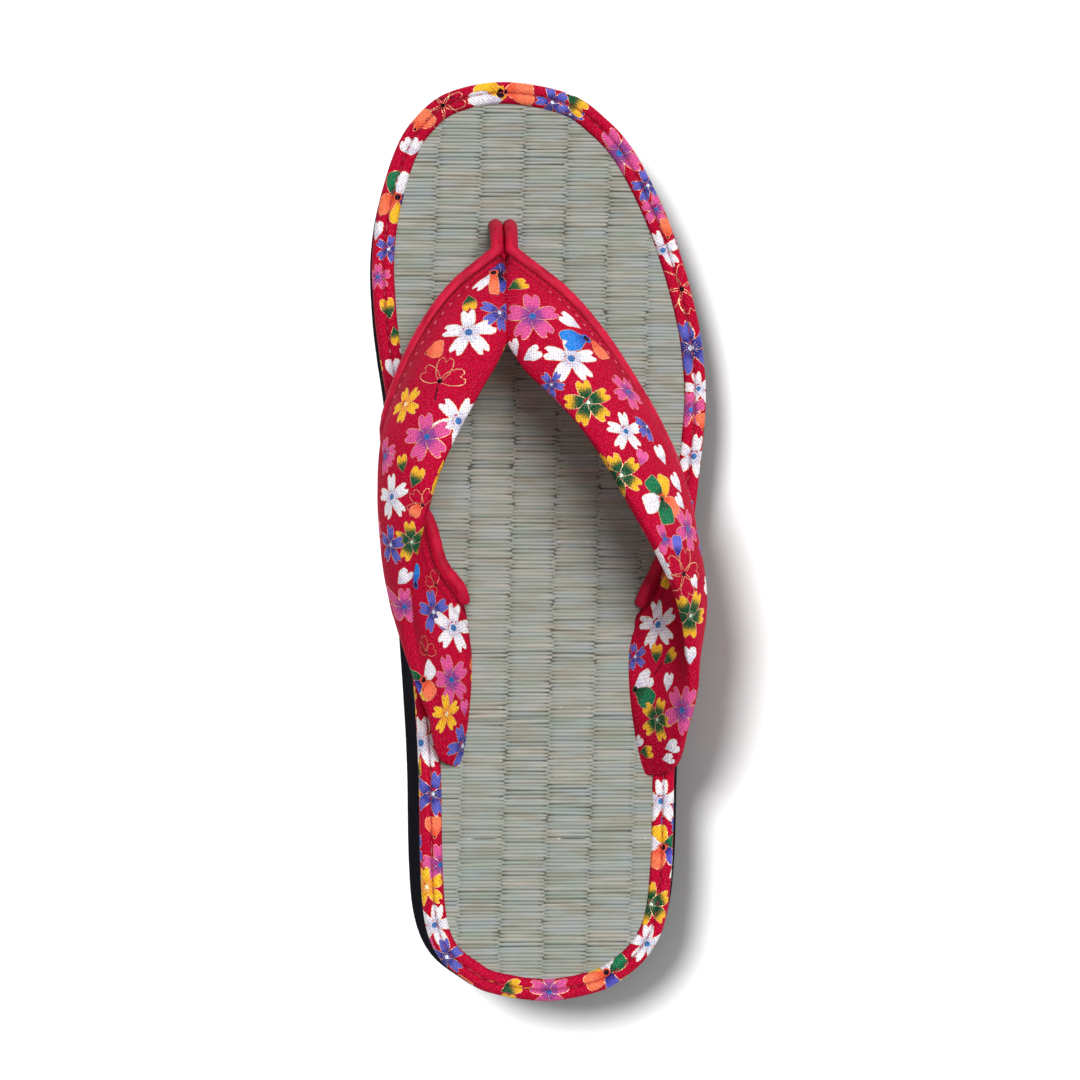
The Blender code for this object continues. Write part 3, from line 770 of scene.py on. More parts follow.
printing = {
    "layers": 3,
    "nowhere": 9.0,
    "bend": 110,
    "fillEvery": 2500,
    "fillSize": 5.8 * mm,
    "fillSeed": 11,
    "clear": 0.6 * mm,
    "wobbles": ((6.0, 0.05), (34.0, 0.035)),
    "notch": (1.5, 0.82),
    "beside": (0.75, 0.06),
    "foot": 1.6,
    "line": 0.012,
    "bolder": 0.005,
    "streaks": 0.7,
    "fade": (0.28, 0.52),
    "stamens": (2.4, 0.07, 2.6, 0.6),
}
petalOutline = ((0.0, 0.6), (0.3, 0.8), (0.55, 0.97), (0.75, 1.0), (0.9, 0.92), (1.0, 0.66))


def measurePiece(piece):
    # Where the piece's points lie and face, and room for the print's layers
    mesh = piece["made"].data
    for name, source in (("points", "co"), ("normals", "normal")):
        values = np.zeros(len(mesh.vertices) * 3)
        mesh.vertices.foreach_get(source, values)
        piece[name] = values.reshape(-1, 3)
    layers, count = printing["layers"], len(piece["quads"])
    piece["places"] = np.full((layers, count, 4, 2), printing["nowhere"])
    for name in ("base", "tip", "heart"):
        piece[name] = np.zeros((layers, count, 4))


def unrolled(piece, centre, normal, right, reach):
    # Flat coordinates of the points round a centre, unrolled where the cloth bends away, and
    # the faces within reach
    offset = piece["points"] - centre
    near = (np.abs(offset) < reach).all(axis=1)
    up = np.cross(normal, right)
    cosine = np.clip(piece["normals"] @ normal, -1, 1)
    near &= cosine > math.cos(math.radians(printing["bend"]))
    faces = np.nonzero(near[piece["quads"]].all(axis=1) & ~piece["plain"])[0]
    tilt = np.column_stack([piece["normals"] @ right, piece["normals"] @ up])
    sine = np.maximum(np.linalg.norm(tilt, axis=1), 1e-6)
    tilt /= sine[:, None]
    flat = np.column_stack([offset @ right, offset @ up])
    further = (flat * tilt).sum(axis=1) * np.where(sine > 1e-3, np.arccos(cosine) / sine - 1, 0)
    flat += tilt * further[:, None]
    return flat[piece["quads"][faces]], faces


def layBlossom(piece, kind, centre, normal, right, size, turns):
    # Gives each face near the blossom the coordinates and colours of the petals over it, the newest on top
    corners, faces = unrolled(piece, centre, normal, right, 1.15 * size)
    if not len(faces):
        return
    style = blossoms[kind]
    heart = style["heart"] or ("#000000", 0)
    for number, turn in enumerate(turns):
        base, tip, width, shape = style["petals"][number % len(style["petals"])]
        x = (corners[:, :, 0] * math.cos(turn) + corners[:, :, 1] * math.sin(turn)) / size
        y = (corners[:, :, 1] * math.cos(turn) - corners[:, :, 0] * math.sin(turn)) / size
        middleX, middleY = x.mean(axis=1), np.abs(y.mean(axis=1))
        m = np.hypot(x - middleX[:, None], y - y.mean(axis=1)[:, None]).max(axis=1) + 0.03
        beside = 0.75 * np.maximum(middleX, 0) + 0.05
        edge = np.minimum(width * np.interp(middleX, *zip(*petalOutline)), beside)
        inside = (middleX > -m) & (middleX < 1 + m) & (middleY < edge + m)
        inside |= np.hypot(middleX, middleY) < heart[1] + m
        chosen = faces[inside]
        for layer in range(printing["layers"] - 1, 0, -1):
            for name in ("places", "base", "tip", "heart"):
                piece[name][layer][chosen] = piece[name][layer - 1][chosen]
        piece["places"][0][chosen] = np.stack([x, y], axis=2)[inside]
        piece["base"][0][chosen] = (*hexColour(base)[:3], width)
        piece["tip"][0][chosen] = (*hexColour(tip)[:3], shape)
        piece["heart"][0][chosen] = (*hexColour(heart[0])[:3], heart[1])


def storePrint(piece):
    # Puts the cloth's own coordinates, the petals and the shade painted in the creases on the mesh, for the
    # shader
    mesh = piece["made"].data
    layers = range(printing["layers"])
    maps = {"cloth": piece["uv"]} | {f"petal{layer}": piece["places"][layer] for layer in layers}
    storePlaces(mesh, piece["quads"], maps, printing["nowhere"])
    stored = [("plainEdge", "FLOAT", "FACE", "value", piece["plain"])]
    stored += [("paintedShade", "FLOAT", "POINT", "value", piece["paintedShade"])]
    stored += [
        (f"{name}{layer}", "FLOAT_COLOR", "FACE", "color", piece[name][layer])
        for layer in layers
        for name in ("base", "tip", "heart")
    ]
    for name, kind, domain, key, values in stored:
        count = len(mesh.polygons if domain == "FACE" else mesh.vertices)
        filled = np.zeros((count, *values.shape[1:]))
        filled[: len(values)] = values
        mesh.attributes.new(name, kind, domain).data.foreach_set(key, filled.ravel())


def petalTurns(first, count):
    return [first + 2 * math.pi / 5 * petal for petal in range(count)]


def tangentTurn(normal, right, degrees):
    # The turn in the cloth's plane of a direction in the photo
    x, y = math.cos(math.radians(degrees)), math.sin(math.radians(degrees))
    way = np.array([x, y, -(normal[0] * x + normal[1] * y) / max(normal[2], 0.25)])
    return math.atan2(way @ np.cross(normal, right), way @ right)


def layChart(pieces, chart):
    # Lays the chart on whatever the photo's camera sees at each place, and gives where each
    # blossom came to lie
    corners = np.vstack([piece["points"] for piece in pieces])
    starts = np.cumsum([0] + [len(piece["points"]) for piece in pieces])
    faceStarts = np.cumsum([0] + [len(piece["quads"]) for piece in pieces])
    quads = np.vstack([piece["quads"] + start for piece, start in zip(pieces, starts)])
    tree = BVHTree.FromPolygons(corners.tolist(), quads.tolist())
    eye = Vector(photo["eye"])
    places = [[] for piece in pieces]
    for kind, x, y, size, turn, petals in chart:
        hit, face, index, distance = tree.ray_cast(eye, Vector(photoPoint(x, y)) - eye)
        if hit is None:
            continue
        number = int(np.searchsorted(faceStarts, index, side="right")) - 1
        piece = pieces[number]
        normal = piece["normals"][piece["quads"][index - faceStarts[number]]].mean(axis=0)
        normal /= np.linalg.norm(normal)
        right = np.cross((0, 1, 0), normal)
        right /= np.linalg.norm(right)
        if isinstance(petals, tuple):
            turns = [tangentTurn(normal, right, degrees) for degrees in petals]
        else:
            first = tangentTurn(normal, right, turn)
            turns = petalTurns(first, petals)
        length = size / photo["pixelsPerMetre"] * (eye.z - hit.z) / (eye.z - photo["bed"])
        places[number].append((kind, np.array(hit), normal, right, length, turns))
    return places, tree


def fillerPlaces(piece, tree, charted):
    # More of the same blossoms, by chance, where the photo doesn't look
    chance = np.random.default_rng(printing["fillSeed"])
    kinds = ("white", "pink", "leafy", "violet", "sun", "gold", "mixed", "bud", "lone white", "lone orange")
    middles = piece["points"][piece["quads"]].mean(axis=1)
    facing = piece["normals"][piece["quads"]].mean(axis=1)
    taken = [(place[1], place[2], place[4]) for place in charted]
    eye = Vector(photo["eye"])
    found = []
    order = chance.permutation(len(piece["quads"]))
    for face in order[:: max(1, len(order) // printing["fillEvery"])]:
        size = printing["fillSize"] * chance.uniform(0.75, 1.2)
        here, normal = middles[face], facing[face] / np.linalg.norm(facing[face])
        near = [
            np.linalg.norm(other - here) < (size + reach) * 0.9 + printing["clear"] and normal @ way > -0.3
            for other, way, reach in taken
        ]
        if piece["plain"][face] or any(near):
            continue
        hit = tree.ray_cast(eye, Vector(here) - eye)[0]
        if hit is not None and (hit - Vector(here)).length < 2 * mm:
            continue
        kind = kinds[int(chance.integers(len(kinds)))]
        count = 1 if kind == "bud" or kind.startswith("lone") else 5
        first = chance.uniform(0, 2 * math.pi)
        right = np.cross((0.1, 1, 0.2), normal)
        right /= np.linalg.norm(right)
        found.append((kind, here, normal, right, size, petalTurns(first, count)))
        taken.append((here, normal, size))
    return found


# Printed cotton: plain woven sheeting, screen printed in flat opaque inks with thin gold
# lines. The cloth is matt
# and the gold glints.
cottonRed = {
    "ground": "#CF0739",
    "deep": "#A30125",
    # The plain flange's red is darker than the same cloth on the cord: painted shade of the valley beside the
    # cord
    "edge": "#BC082F",
    "gold": "#E9B88A",
    "fleck": "#E86A84",
    "flecks": 0.26,
    "thread": 0.52 * mm,
    "paintedShade": 0.7,
    "bump": (0.6, 0.14 * mm),
}


def petalLayer(tree, layer, below):
    # Draws one layer's petals over the colour below, and gives the new colour and where there is gold
    def calc(operation, *values):
        return maths(tree, operation, *values)

    place = addNode(tree, "ShaderNodeUVMap", {"uv_map": f"petal{layer}"}).outputs[0]
    axes = addNode(tree, "ShaderNodeSeparateXYZ", None, {0: place}).outputs
    base, tip, heart = (attribute(tree, f"{name}{layer}") for name in ("base", "tip", "heart"))
    width, shape, radius = (part["Alpha"] for part in (base, tip, heart))
    shake = 0.0
    for scale, amount in printing["wobbles"]:
        wobble = noise(tree, place, scale, dimensions="2D")
        shake = calc("ADD", shake, calc("MULTIPLY_ADD", wobble, amount, -amount / 2))
    x = calc("ADD", axes[0], shake)
    y = calc("ABSOLUTE", calc("ADD", axes[1], shake))

    # How far inside the petal a point lies: from its side, its tip, its notch and the next petal
    inside = calc("SUBTRACT", calc("MULTIPLY", curveThrough(tree, x, petalOutline), width), y)
    notch = calc("SUBTRACT", calc("MULTIPLY_ADD", y, *printing["notch"]), x)
    notch = calc("ADD", notch, calc("MULTIPLY", calc("GREATER_THAN", shape, 1.5), 9.0))
    toNext = calc("SUBTRACT", calc("MULTIPLY_ADD", x, *printing["beside"]), y)
    for reach in (calc("SUBTRACT", 1.0, x), notch, toNext):
        inside = calc("MINIMUM", inside, reach)
    distance = addNode(tree, "ShaderNodeVectorMath", {"operation": "LENGTH"}, {0: place}).outputs["Value"]
    foot = calc("LESS_THAN", distance, calc("MULTIPLY", radius, printing["foot"]))
    ink = calc("MAXIMUM", calc("GREATER_THAN", inside, 0.0), foot)
    ink = calc("MULTIPLY", ink, calc("GREATER_THAN", shape, 0.5))
    thick = calc("MULTIPLY_ADD", calc("LESS_THAN", shape, 0.5), printing["bolder"], printing["line"])
    line = calc("MULTIPLY", calc("COMPARE", inside, 0.0, thick), calc("GREATER_THAN", width, 0.1))

    # The petal's two inks run into each other in streaks. Stamens and the heart lie on top.
    streaks = noise(tree, stretched(tree, place, (2.0, 22.0, 1.0)), 5.0, dimensions="2D")
    reach = calc("MULTIPLY_ADD", calc("SUBTRACT", streaks, 0.5), printing["streaks"], x)
    fade = smoothStep(tree, calc("SUBTRACT", reach, calc("FRACT", shape)), *printing["fade"])
    colour = mixColour(tree, ink, below, mixColour(tree, fade, base["Color"], tip["Color"]))
    colour = mixColour(tree, line, colour, cottonRed["gold"])
    turns, thin, far, strength = printing["stamens"]
    angle = calc("MULTIPLY", calc("ARCTAN2", axes[1], axes[0]), turns)
    spoke = calc("COMPARE", calc("FRACT", calc("ADD", angle, 0.5)), 0.5, thin)
    within = calc("LESS_THAN", distance, calc("MULTIPLY", radius, far))
    stamens = calc("MULTIPLY", calc("MULTIPLY", spoke, within), ink)
    colour = mixColour(tree, calc("MULTIPLY", stamens, strength), colour, heart["Color"])
    disc = calc("LESS_THAN", calc("ADD", distance, shake), radius)
    return mixColour(tree, disc, colour, heart["Color"]), line


def weaveHeight(tree, thread):
    # Threads over and under each other at this spacing, from 0 to 1, and the cloth's own coordinates
    cloth = addNode(tree, "ShaderNodeUVMap", {"uv_map": "cloth"}).outputs[0]
    axes = addNode(tree, "ShaderNodeSeparateXYZ", None, {0: cloth}).outputs
    waves = [maths(tree, "SINE", maths(tree, "MULTIPLY", axes[axis], math.pi / thread)) for axis in (0, 1)]
    return maths(tree, "MULTIPLY_ADD", maths(tree, "MULTIPLY", *waves), 0.5, 0.5), cloth


def printedCotton():
    constants = {"Metallic": 0.0, "Specular IOR Level": 0.06}
    material, tree = newMaterial("screen printed cotton sheeting", constants)
    weave, cloth = weaveHeight(tree, cottonRed["thread"])
    colour = mixColour(tree, noise(tree, cloth, 60.0, 3.0), cottonRed["ground"], cottonRed["deep"])
    # The plain flange gets the darker edge red, painted shade of the valley
    colour = mixColour(tree, attribute(tree, "plainEdge")["Fac"], colour, cottonRed["edge"])
    gold = 0.0
    for layer in reversed(range(printing["layers"])):
        colour, line = petalLayer(tree, layer, colour)
        gold = maths(tree, "MAXIMUM", line, gold)
    shade = maths(tree, "MULTIPLY_ADD", weave, 0.50, 0.10)
    shade = maths(tree, "MULTIPLY_ADD", noise(tree, cloth, 1500.0), 1.25, shade)
    # Painted shade darkens the colour in the creases
    paintedShadeFactor = maths(tree, "MULTIPLY_ADD", attribute(tree, "paintedShade")["Fac"], -cottonRed["paintedShade"], 1.0)
    colour = scaled(tree, colour, maths(tree, "MULTIPLY", shade, paintedShadeFactor))
    flecks = smoothStep(tree, noise(tree, cloth, 2300.0, 1.0), 0.56, 0.70)
    values = {
        "Base Color": mixColour(
            tree, maths(tree, "MULTIPLY", flecks, cottonRed["flecks"]), colour, cottonRed["fleck"]
        ),
        "Roughness": maths(tree, "MULTIPLY_ADD", gold, -0.38, 0.80),
        "Metallic": maths(tree, "MULTIPLY", gold, 0.55),
    }
    crepe = noise(tree, cloth, 900.0)
    return patterned(material, values, (*cottonRed["bump"], maths(tree, "ADD", weave, crepe)))


# Plain cotton over cord: the same cloth unprinted and cut on the bias, so its threads run
# across at 45 degrees. It is coloured a little brighter than the same cloth on the flange, a
# painted highlight on the round cord.
cordCloth = {"colour": "#D4163F", "foldShade": "#B00A30", "thread": 0.40 * mm, "bump": (0.6, 0.14 * mm)}


def plainCotton():
    constants = {"Metallic": 0.0, "Roughness": 0.55, "Specular IOR Level": 0.16}
    material, tree = newMaterial("bias cut plain cotton", constants)
    weave, cloth = weaveHeight(tree, cordCloth["thread"])
    # Darker patches at random: painted shade of folds in the cord cloth
    foldShadeMask = smoothStep(tree, noise(tree, cloth, 160.0, 4.0), 0.35, 0.7)
    colour = mixColour(tree, foldShadeMask, cordCloth["colour"], cordCloth["foldShade"])
    colour = scaled(tree, colour, maths(tree, "MULTIPLY_ADD", weave, 0.34, 0.78))
    return patterned(material, {"Base Color": colour}, (*cordCloth["bump"], weave))


print("cloth: straps and binding")
cotton = printedCotton()
pieces = [
    strapPiece("medial", medialRows, -1, cotton),
    strapPiece("lateral", lateralRows, 1, cotton),
    bindingPiece(cotton),
]


# Toe post: a rounded block of the same cloth behind the two cords, seen in the V from behind
# and from the side

post = {
    "width": 6.0 * mm,
    "length": 8.6 * mm,
    "behindCords": 4.5 * mm,
    "lean": 3.0 * mm,
    "top": 5.0 * mm,
    "blunt": 0.6,
    "points": 40,
    "stepsPerRow": 8,
    "plainFrom": 0.6,
}


def postPiece(material):
    behind = strap["cadCord"] / 2 + shoe["gap"] + post["behindCords"]
    steps = post["stepsPerRow"]
    path = frontRail(medialRows, -1, steps)[: steps * len(postCordRows) + 1]
    path = np.vstack([path, path[-1] + np.array([0, -post["lean"], post["top"]])])
    turn = np.linspace(0, 2 * math.pi, post["points"], endpoint=False)
    along, across = (np.sign(wave) * np.abs(wave) ** post["blunt"] for wave in (np.sin(turn), np.cos(turn)))
    across, along = across * post["width"] / 2, along * post["length"] / 2
    rings = []
    for y, z in path[:, 1:]:
        back = y - behind + along
        rings.append(np.column_stack([shoe["seam"] + across, back, z + matTop(back) - matTop(y)]))
    made, quads = cappedTube("toe_post", np.array(rings), material, sharp=50)
    girth = lengthsAlong(rings[0], closed=True)
    return {
        "made": made,
        "quads": quads,
        "uv": quadPlaces(lengthsAlong(path), girth[:-1], girth[1:]),
        "plain": np.arange(len(quads)) // post["points"] > post["plainFrom"] * len(rings),
        "paintedShade": np.zeros(len(rings) * post["points"]),
    }


pieces.append(postPiece(cotton))

print("cloth: the print")
for piece in pieces:
    measurePiece(piece)
charted, seenTree = layChart(pieces, strapPrint + bindingPrint)
for piece, places in zip(pieces, charted):
    for place in fillerPlaces(piece, seenTree, places) + places:
        layBlossom(piece, *place)
    storePrint(piece)


# Corded edges

cord = {
    "radius": 1.72 * mm,
    "atPost": 0.24 * mm,
    "endShare": 0.55,
    "stepsPerRow": 14,
    "sides": 24,
    "pucker": 0.05 * mm,
    "puckerEvery": 3.4 * mm,
}


def cordPiece(name, rows, side, material):
    steps = cord["stepsPerRow"]
    path = frontRail(rows, side, steps)[: -2 * steps]
    tangents = np.gradient(path, axis=0)
    tangents /= np.linalg.norm(tangents, axis=1, keepdims=True)
    along = lengthsAlong(path)
    radius = cord["radius"] + cord["pucker"] * np.sin(along * 2 * math.pi / cord["puckerEvery"])
    radius[-1] *= cord["endShare"]
    radius += cord["atPost"] * np.clip(1 - along / along[len(postCordRows) * steps], 0, 1)
    turn = np.linspace(0, 2 * math.pi, cord["sides"], endpoint=False)[:, None]
    out = np.cross(tangents[0], (1.0, 0.0, 0.0))
    rings = []
    for point, tangent, reach in zip(path, tangents, radius):
        out = out - tangent * np.dot(out, tangent)
        out /= np.linalg.norm(out)
        rings.append(point + reach * (np.cos(turn) * out + np.sin(turn) * np.cross(tangent, out)))
    made, quads = cappedTube(name, np.array(rings), material)
    girth = 2 * math.pi * cord["radius"] * np.arange(cord["sides"] + 1) / cord["sides"]
    bias = np.array([(1, 1), (1, -1)]) * math.sqrt(0.5)
    storePlaces(made.data, quads, {"cloth": quadPlaces(along, girth[:-1], girth[1:]) @ bias})
    return made


print("cords")
plainCloth = plainCotton()
cords = {
    "medial": cordPiece("corded_edge_medial", medialRows, -1, plainCloth),
    "lateral": cordPiece("corded_edge_lateral", lateralRows, 1, plainCloth),
}


# Strands and stitches: one Geometry Nodes tree lays a rounded strand with pinched ends on each
# point of a mesh

strandCurve = ((0.0, 1.0), (0.60, 0.97), (0.78, 0.70), (0.90, 0.32), (1.0, 0.0))
strandSockets = {
    "Points": "Geometry",
    "Pinch": "Float",
    "Dip": "Float",
    "Spread": "Float",
    "Sides": "Int",
    "Lengths": "Int",
    "Seed": "Int",
    "Material": "Material",
}


def strandTree():
    tree = bpy.data.node_groups.new("strands on points", "GeometryNodeTree")
    for name, kind in strandSockets.items():
        tree.interface.new_socket(name, in_out="INPUT", socket_type="NodeSocket" + kind)
    tree.interface.new_socket("Strands", in_out="OUTPUT", socket_type="NodeSocketGeometry")
    start = addNode(tree, "NodeGroupInput").outputs

    def made(kind, inputs, settings=None, output=0):
        return addNode(tree, kind, settings, inputs).outputs[output]

    # A unit strand along X, pinched by a curve towards both ends, which also dip
    inputs = {"Vertices": start["Sides"], "Side Segments": start["Lengths"], "Radius": 0.5, "Depth": 1.0}
    tube = made("GeometryNodeMeshCylinder", inputs, {"fill_type": "NGON"}, "Mesh")
    lying = made("GeometryNodeTransform", {"Geometry": tube, "Rotation": (0, math.pi / 2, 0)})
    x, y, z = addNode(tree, "ShaderNodeSeparateXYZ", None, {0: made("GeometryNodeInputPosition", {})}).outputs
    slim = curveThrough(tree, maths(tree, "MULTIPLY", maths(tree, "ABSOLUTE", x), 2.0), strandCurve)
    scale = maths(tree, "MULTIPLY_ADD", slim, maths(tree, "SUBTRACT", 1.0, start["Pinch"]), start["Pinch"])
    sink = maths(tree, "MULTIPLY", maths(tree, "SUBTRACT", slim, 1.0), start["Dip"])
    z = maths(tree, "ADD", maths(tree, "MULTIPLY", z, scale), sink)
    place = made("ShaderNodeCombineXYZ", {0: x, 1: maths(tree, "MULTIPLY", y, scale), 2: z})
    shaped = made("GeometryNodeSetPosition", {"Geometry": lying, "Position": place})

    # Laid on the points by their own turn and size, with a little chance in both
    turn, size = (
        made("GeometryNodeInputNamedAttribute", {"Name": name}, {"data_type": "FLOAT_VECTOR"})
        for name in ("turn", "size")
    )
    inputs = {2: -1.0, 3: 1.0, "Seed": start["Seed"]}
    chance = made("FunctionNodeRandomValue", inputs, {"data_type": "FLOAT"}, 1)
    swell = maths(tree, "MULTIPLY_ADD", chance, start["Spread"], 1.0)
    grow = made("ShaderNodeCombineXYZ", {0: 1.0, 1: swell, 2: swell})
    laid = made("GeometryNodeInstanceOnPoints", {
        "Points": start["Points"],
        "Instance": shaped,
        "Rotation": made("FunctionNodeEulerToRotation", {0: turn}),
        "Scale": made("ShaderNodeVectorMath", {0: size, 1: grow}, {"operation": "MULTIPLY"}),
    })
    smooth = made("GeometryNodeSetShadeSmooth", {"Geometry": made("GeometryNodeRealizeInstances", {0: laid})})
    coloured = made("GeometryNodeSetMaterial", {"Geometry": smooth, "Material": start["Material"]})
    addNode(tree, "NodeGroupOutput", None, {0: coloured})
    return tree


strands = strandTree()


def layStrands(name, points, turns, sizes, tints, inputs, material):
    # Strands as one plain mesh. The points' own turn, size and tint drive the tree.
    cloud = bpy.data.meshes.new(name + " points")
    cloud.from_pydata(np.asarray(points).tolist(), [], [])
    for attributeName, kind, key, values in (
        ("turn", "FLOAT_VECTOR", "vector", turns),
        ("size", "FLOAT_VECTOR", "vector", sizes),
        ("tint", "FLOAT", "value", tints),
    ):
        layer = cloud.attributes.new(attributeName, kind, "POINT")
        layer.data.foreach_set(key, np.asarray(values, float).ravel())
    holder = sceneObject(name + " points", cloud)
    modifier = holder.modifiers.new("strands", "NODES")
    modifier.node_group = strands
    sockets = strands.interface.items_tree
    identifiers = {item.name: item.identifier for item in sockets if item.in_out == "INPUT"}
    for key, value in {**inputs, "Material": material}.items():
        modifier[identifiers[key]] = value
    bpy.context.view_layer.update()
    mesh = bpy.data.meshes.new_from_object(holder.evaluated_get(bpy.context.evaluated_depsgraph_get()))
    mesh.name = name
    bpy.data.objects.remove(holder)
    bpy.data.meshes.remove(cloud)
    return sceneObject(name, mesh)


# Rush mat

rush = {
    "column": 11.6 * mm,
    "columns": (-6, 7),
    "middleColumn": -6.0 * mm,
    "columnSlope": 0.033,
    "slopeFrom": 50.0 * mm,
    "rows": (-121.0 * mm, 243.0 * mm),
    "pitch": 0.98 * mm,
    "pitchShares": (0.86, 1.14),
    "width": 1.29 * mm,
    "widthShares": (0.86, 1.08),
    "height": 0.56 * mm,
    "heightShares": (0.9, 1.1),
    "level": 0.068 * mm,
    "overlap": 2.3 * mm,
    "inside": 2.4 * mm,
    "rowDrift": 0.05 * mm,
    "endDrift": 0.32 * mm,
    "turnDrift": (0.006, 0.010),
    "toneDrift": (0.13, 0.07),
    "probes": 15,
    "seed": 5,
    "strand": {"Pinch": 0.16, "Dip": 0.52, "Spread": 0.10, "Sides": 6, "Lengths": 9, "Seed": 5},
    "tones": ((0.0, "#7A8179"), (0.25, "#8D938B"), (0.5, "#9C9F96"), (0.75, "#A8A69C"), (1.0, "#B1A899")),
    "clouds": (("#98A4AB", 0.0, 0.42), ("#8B8168", 3.0, 0.42), ("#8A9A88", 6.0, 0.35)),
    # The board's dark browns stand in for the shade between the stalks
    "board": ("#4E4D44", "#615F54"),
}


def driedRush():
    # Dried rush stalks: round, a little waxy, each with its own tone from grey green to straw,
    # and streaked along
    material, tree = newMaterial("dried rush stalks", {"Metallic": 0.0})
    place = ownPlace(tree)
    streaks = noise(tree, stretched(tree, place, (90.0, 2600.0, 900.0)), 1.0, 3.0)
    tint = attribute(tree, "tint")["Fac"]
    tone = maths(tree, "MULTIPLY_ADD", maths(tree, "SUBTRACT", streaks, 0.5), 0.55, tint)
    ramp = addNode(tree, "ShaderNodeValToRGB", None, {0: tone})
    elements, tones = ramp.color_ramp.elements, rush["tones"]
    for element, (position, code) in zip(elements, (tones[0], tones[-1])):
        element.position, element.color = position, hexColour(code)
    for position, code in tones[1:-1]:
        elements.new(position).color = hexColour(code)
    colour = ramp.outputs[0]
    for code, shift, amount in rush["clouds"]:
        cloud = noise(tree, stretched(tree, place, (75.0, 260.0, 1.0), (shift, shift, 0)), 1.0, 3.0)
        factor = maths(tree, "MULTIPLY", smoothStep(tree, cloud, 0.46, 0.66), amount)
        colour = mixColour(tree, factor, colour, code)
    roughness = maths(tree, "MULTIPLY_ADD", streaks, 0.25, 0.42)
    return patterned(material, {"Base Color": colour, "Roughness": roughness}, (0.3, 0.08 * mm, streaks))


def matBoard():
    # The board and the deep side of the weave: a dark dusty brown, painted shade, seen only as the dark
    # between the stalks
    constants = {"Metallic": 0.0, "Roughness": 0.9}
    material, tree, colour = speckled("fibre board under the mat", constants, *rush["board"], 500.0, 3.0)
    return patterned(material, {"Base Color": colour})


def insideOutline(outline, points):
    # Which points lie inside a closed outline
    x, y = points[:, 0][:, None], points[:, 1][:, None]
    x1, y1 = outline[:, 0][None], outline[:, 1][None]
    x2, y2 = np.roll(outline, -1, axis=0)[:, 0][None], np.roll(outline, -1, axis=0)[:, 1][None]
    crosses = (y1 > y) != (y2 > y)
    at = x1 + (y - y1) * (x2 - x1) / np.where(y2 == y1, 1e-12, y2 - y1)
    return (crosses & (x < at)).sum(axis=1) % 2 == 1


def rushPiece(material):
    chance = np.random.default_rng(rush["seed"])
    limit = outset(footbedOutline(8), -rush["inside"])
    points, turns, sizes, tints = [], [], [], []
    start, reach = rush["rows"]
    count = int(reach / rush["pitch"])
    over = start + (chance.uniform(*rush["pitchShares"], count) * rush["pitch"]).cumsum()
    rows = np.stack([over, over + 0.5 * np.diff(over, append=over[-1] + rush["pitch"])])
    own = np.clip(chance.normal(0.5, rush["toneDrift"][0], (2, count)), 0, 1)
    for column in range(*rush["columns"]):
        for row, y in enumerate(rows[column % 2]):
            y = y + chance.normal(0, rush["rowDrift"])
            slant = rush["columnSlope"] * (y - rush["slopeFrom"])
            middle = rush["middleColumn"] + slant + (column + 0.5) * rush["column"]
            half = (rush["column"] + rush["overlap"]) / 2 + chance.normal(0, rush["endDrift"])
            span = np.linspace(middle - half, middle + half, rush["probes"])
            kept = span[insideOutline(limit, np.column_stack([span, np.full_like(span, y)]))]
            if len(kept) < 3:
                continue
            slope = (matTop(y + mm) - matTop(y - mm)) / (2 * mm)
            points.append(((kept[0] + kept[-1]) / 2, y, matTop(y) + rush["level"]))
            turns.append((math.atan(slope), *(chance.normal(0, drift) for drift in rush["turnDrift"])))
            wide = rush["width"] * chance.uniform(*rush["widthShares"])
            sizes.append((kept[-1] - kept[0], wide, rush["height"] * chance.uniform(*rush["heightShares"])))
            tints.append(np.clip(own[column % 2][row] + chance.normal(0, rush["toneDrift"][1]), 0, 1))
    return layStrands("rush_strands", points, turns, sizes, tints, rush["strand"], material)


print("rush mat")
rushLaid = rushPiece(driedRush())


# Stitches, and the threads that tack the mat down: photo y, then x, or from and to x where one lies sunk

stitch = {
    "length": 1.1 * mm,
    "every": 3.2 * mm,
    "width": 0.30 * mm,
    "strand": {"Pinch": 0.55, "Dip": 0.6, "Spread": 0.1, "Sides": 8, "Lengths": 6, "Seed": 3},
    "pink": ("#DC4064", "#EE7C94"),
    "red": ("#9C0A28", "#C82C48"),
}
tack = {
    "rows": ((517, (711, 739)), (682, (651, 711, 739)), (812, (620, 649, 709, 738, 795))),
    "sunkRows": ((812, 622, 647), (812, 711, 736)),
    "size": (0.825 * mm, 0.33 * mm, 0.275 * mm),
    "sunk": 0.24 * mm,
    "turn": 0.15,
    "rise": 0.42 * mm,
    "sunkRise": 0.3472 * mm,
    "strand": {"Pinch": 0.5, "Dip": 0.5, "Spread": 0.2, "Sides": 8, "Lengths": 6, "Seed": 9},
    "thread": ("#E9E6DA", "#C9C5B4"),
    # Painted shade for the sunk lengths
    "dark": "#33332E",
}


def sewingThread(name, colours):
    # Spun polyester sewing thread, slightly glossy, with a fuzz of lighter fibre ends
    constants = {"Roughness": 0.5, "Metallic": 0.0, "Sheen Weight": 0.2}
    material, tree, colour = speckled(name, constants, *colours, 700.0)
    return patterned(material, {"Base Color": colour})


def tackThread():
    # Undyed cotton thread that tacks the mat to its board, matt and a little grey, painted dark as shade
    # where it lies sunk between the stalks
    constants = {"Roughness": 0.8, "Metallic": 0.0}
    material, tree, colour = speckled("undyed cotton thread", constants, *tack["thread"], 900.0)
    sunk = maths(tree, "LESS_THAN", attribute(tree, "tint")["Fac"], 0.25)
    return patterned(material, {"Base Color": mixColour(tree, sunk, colour, tack["dark"])})


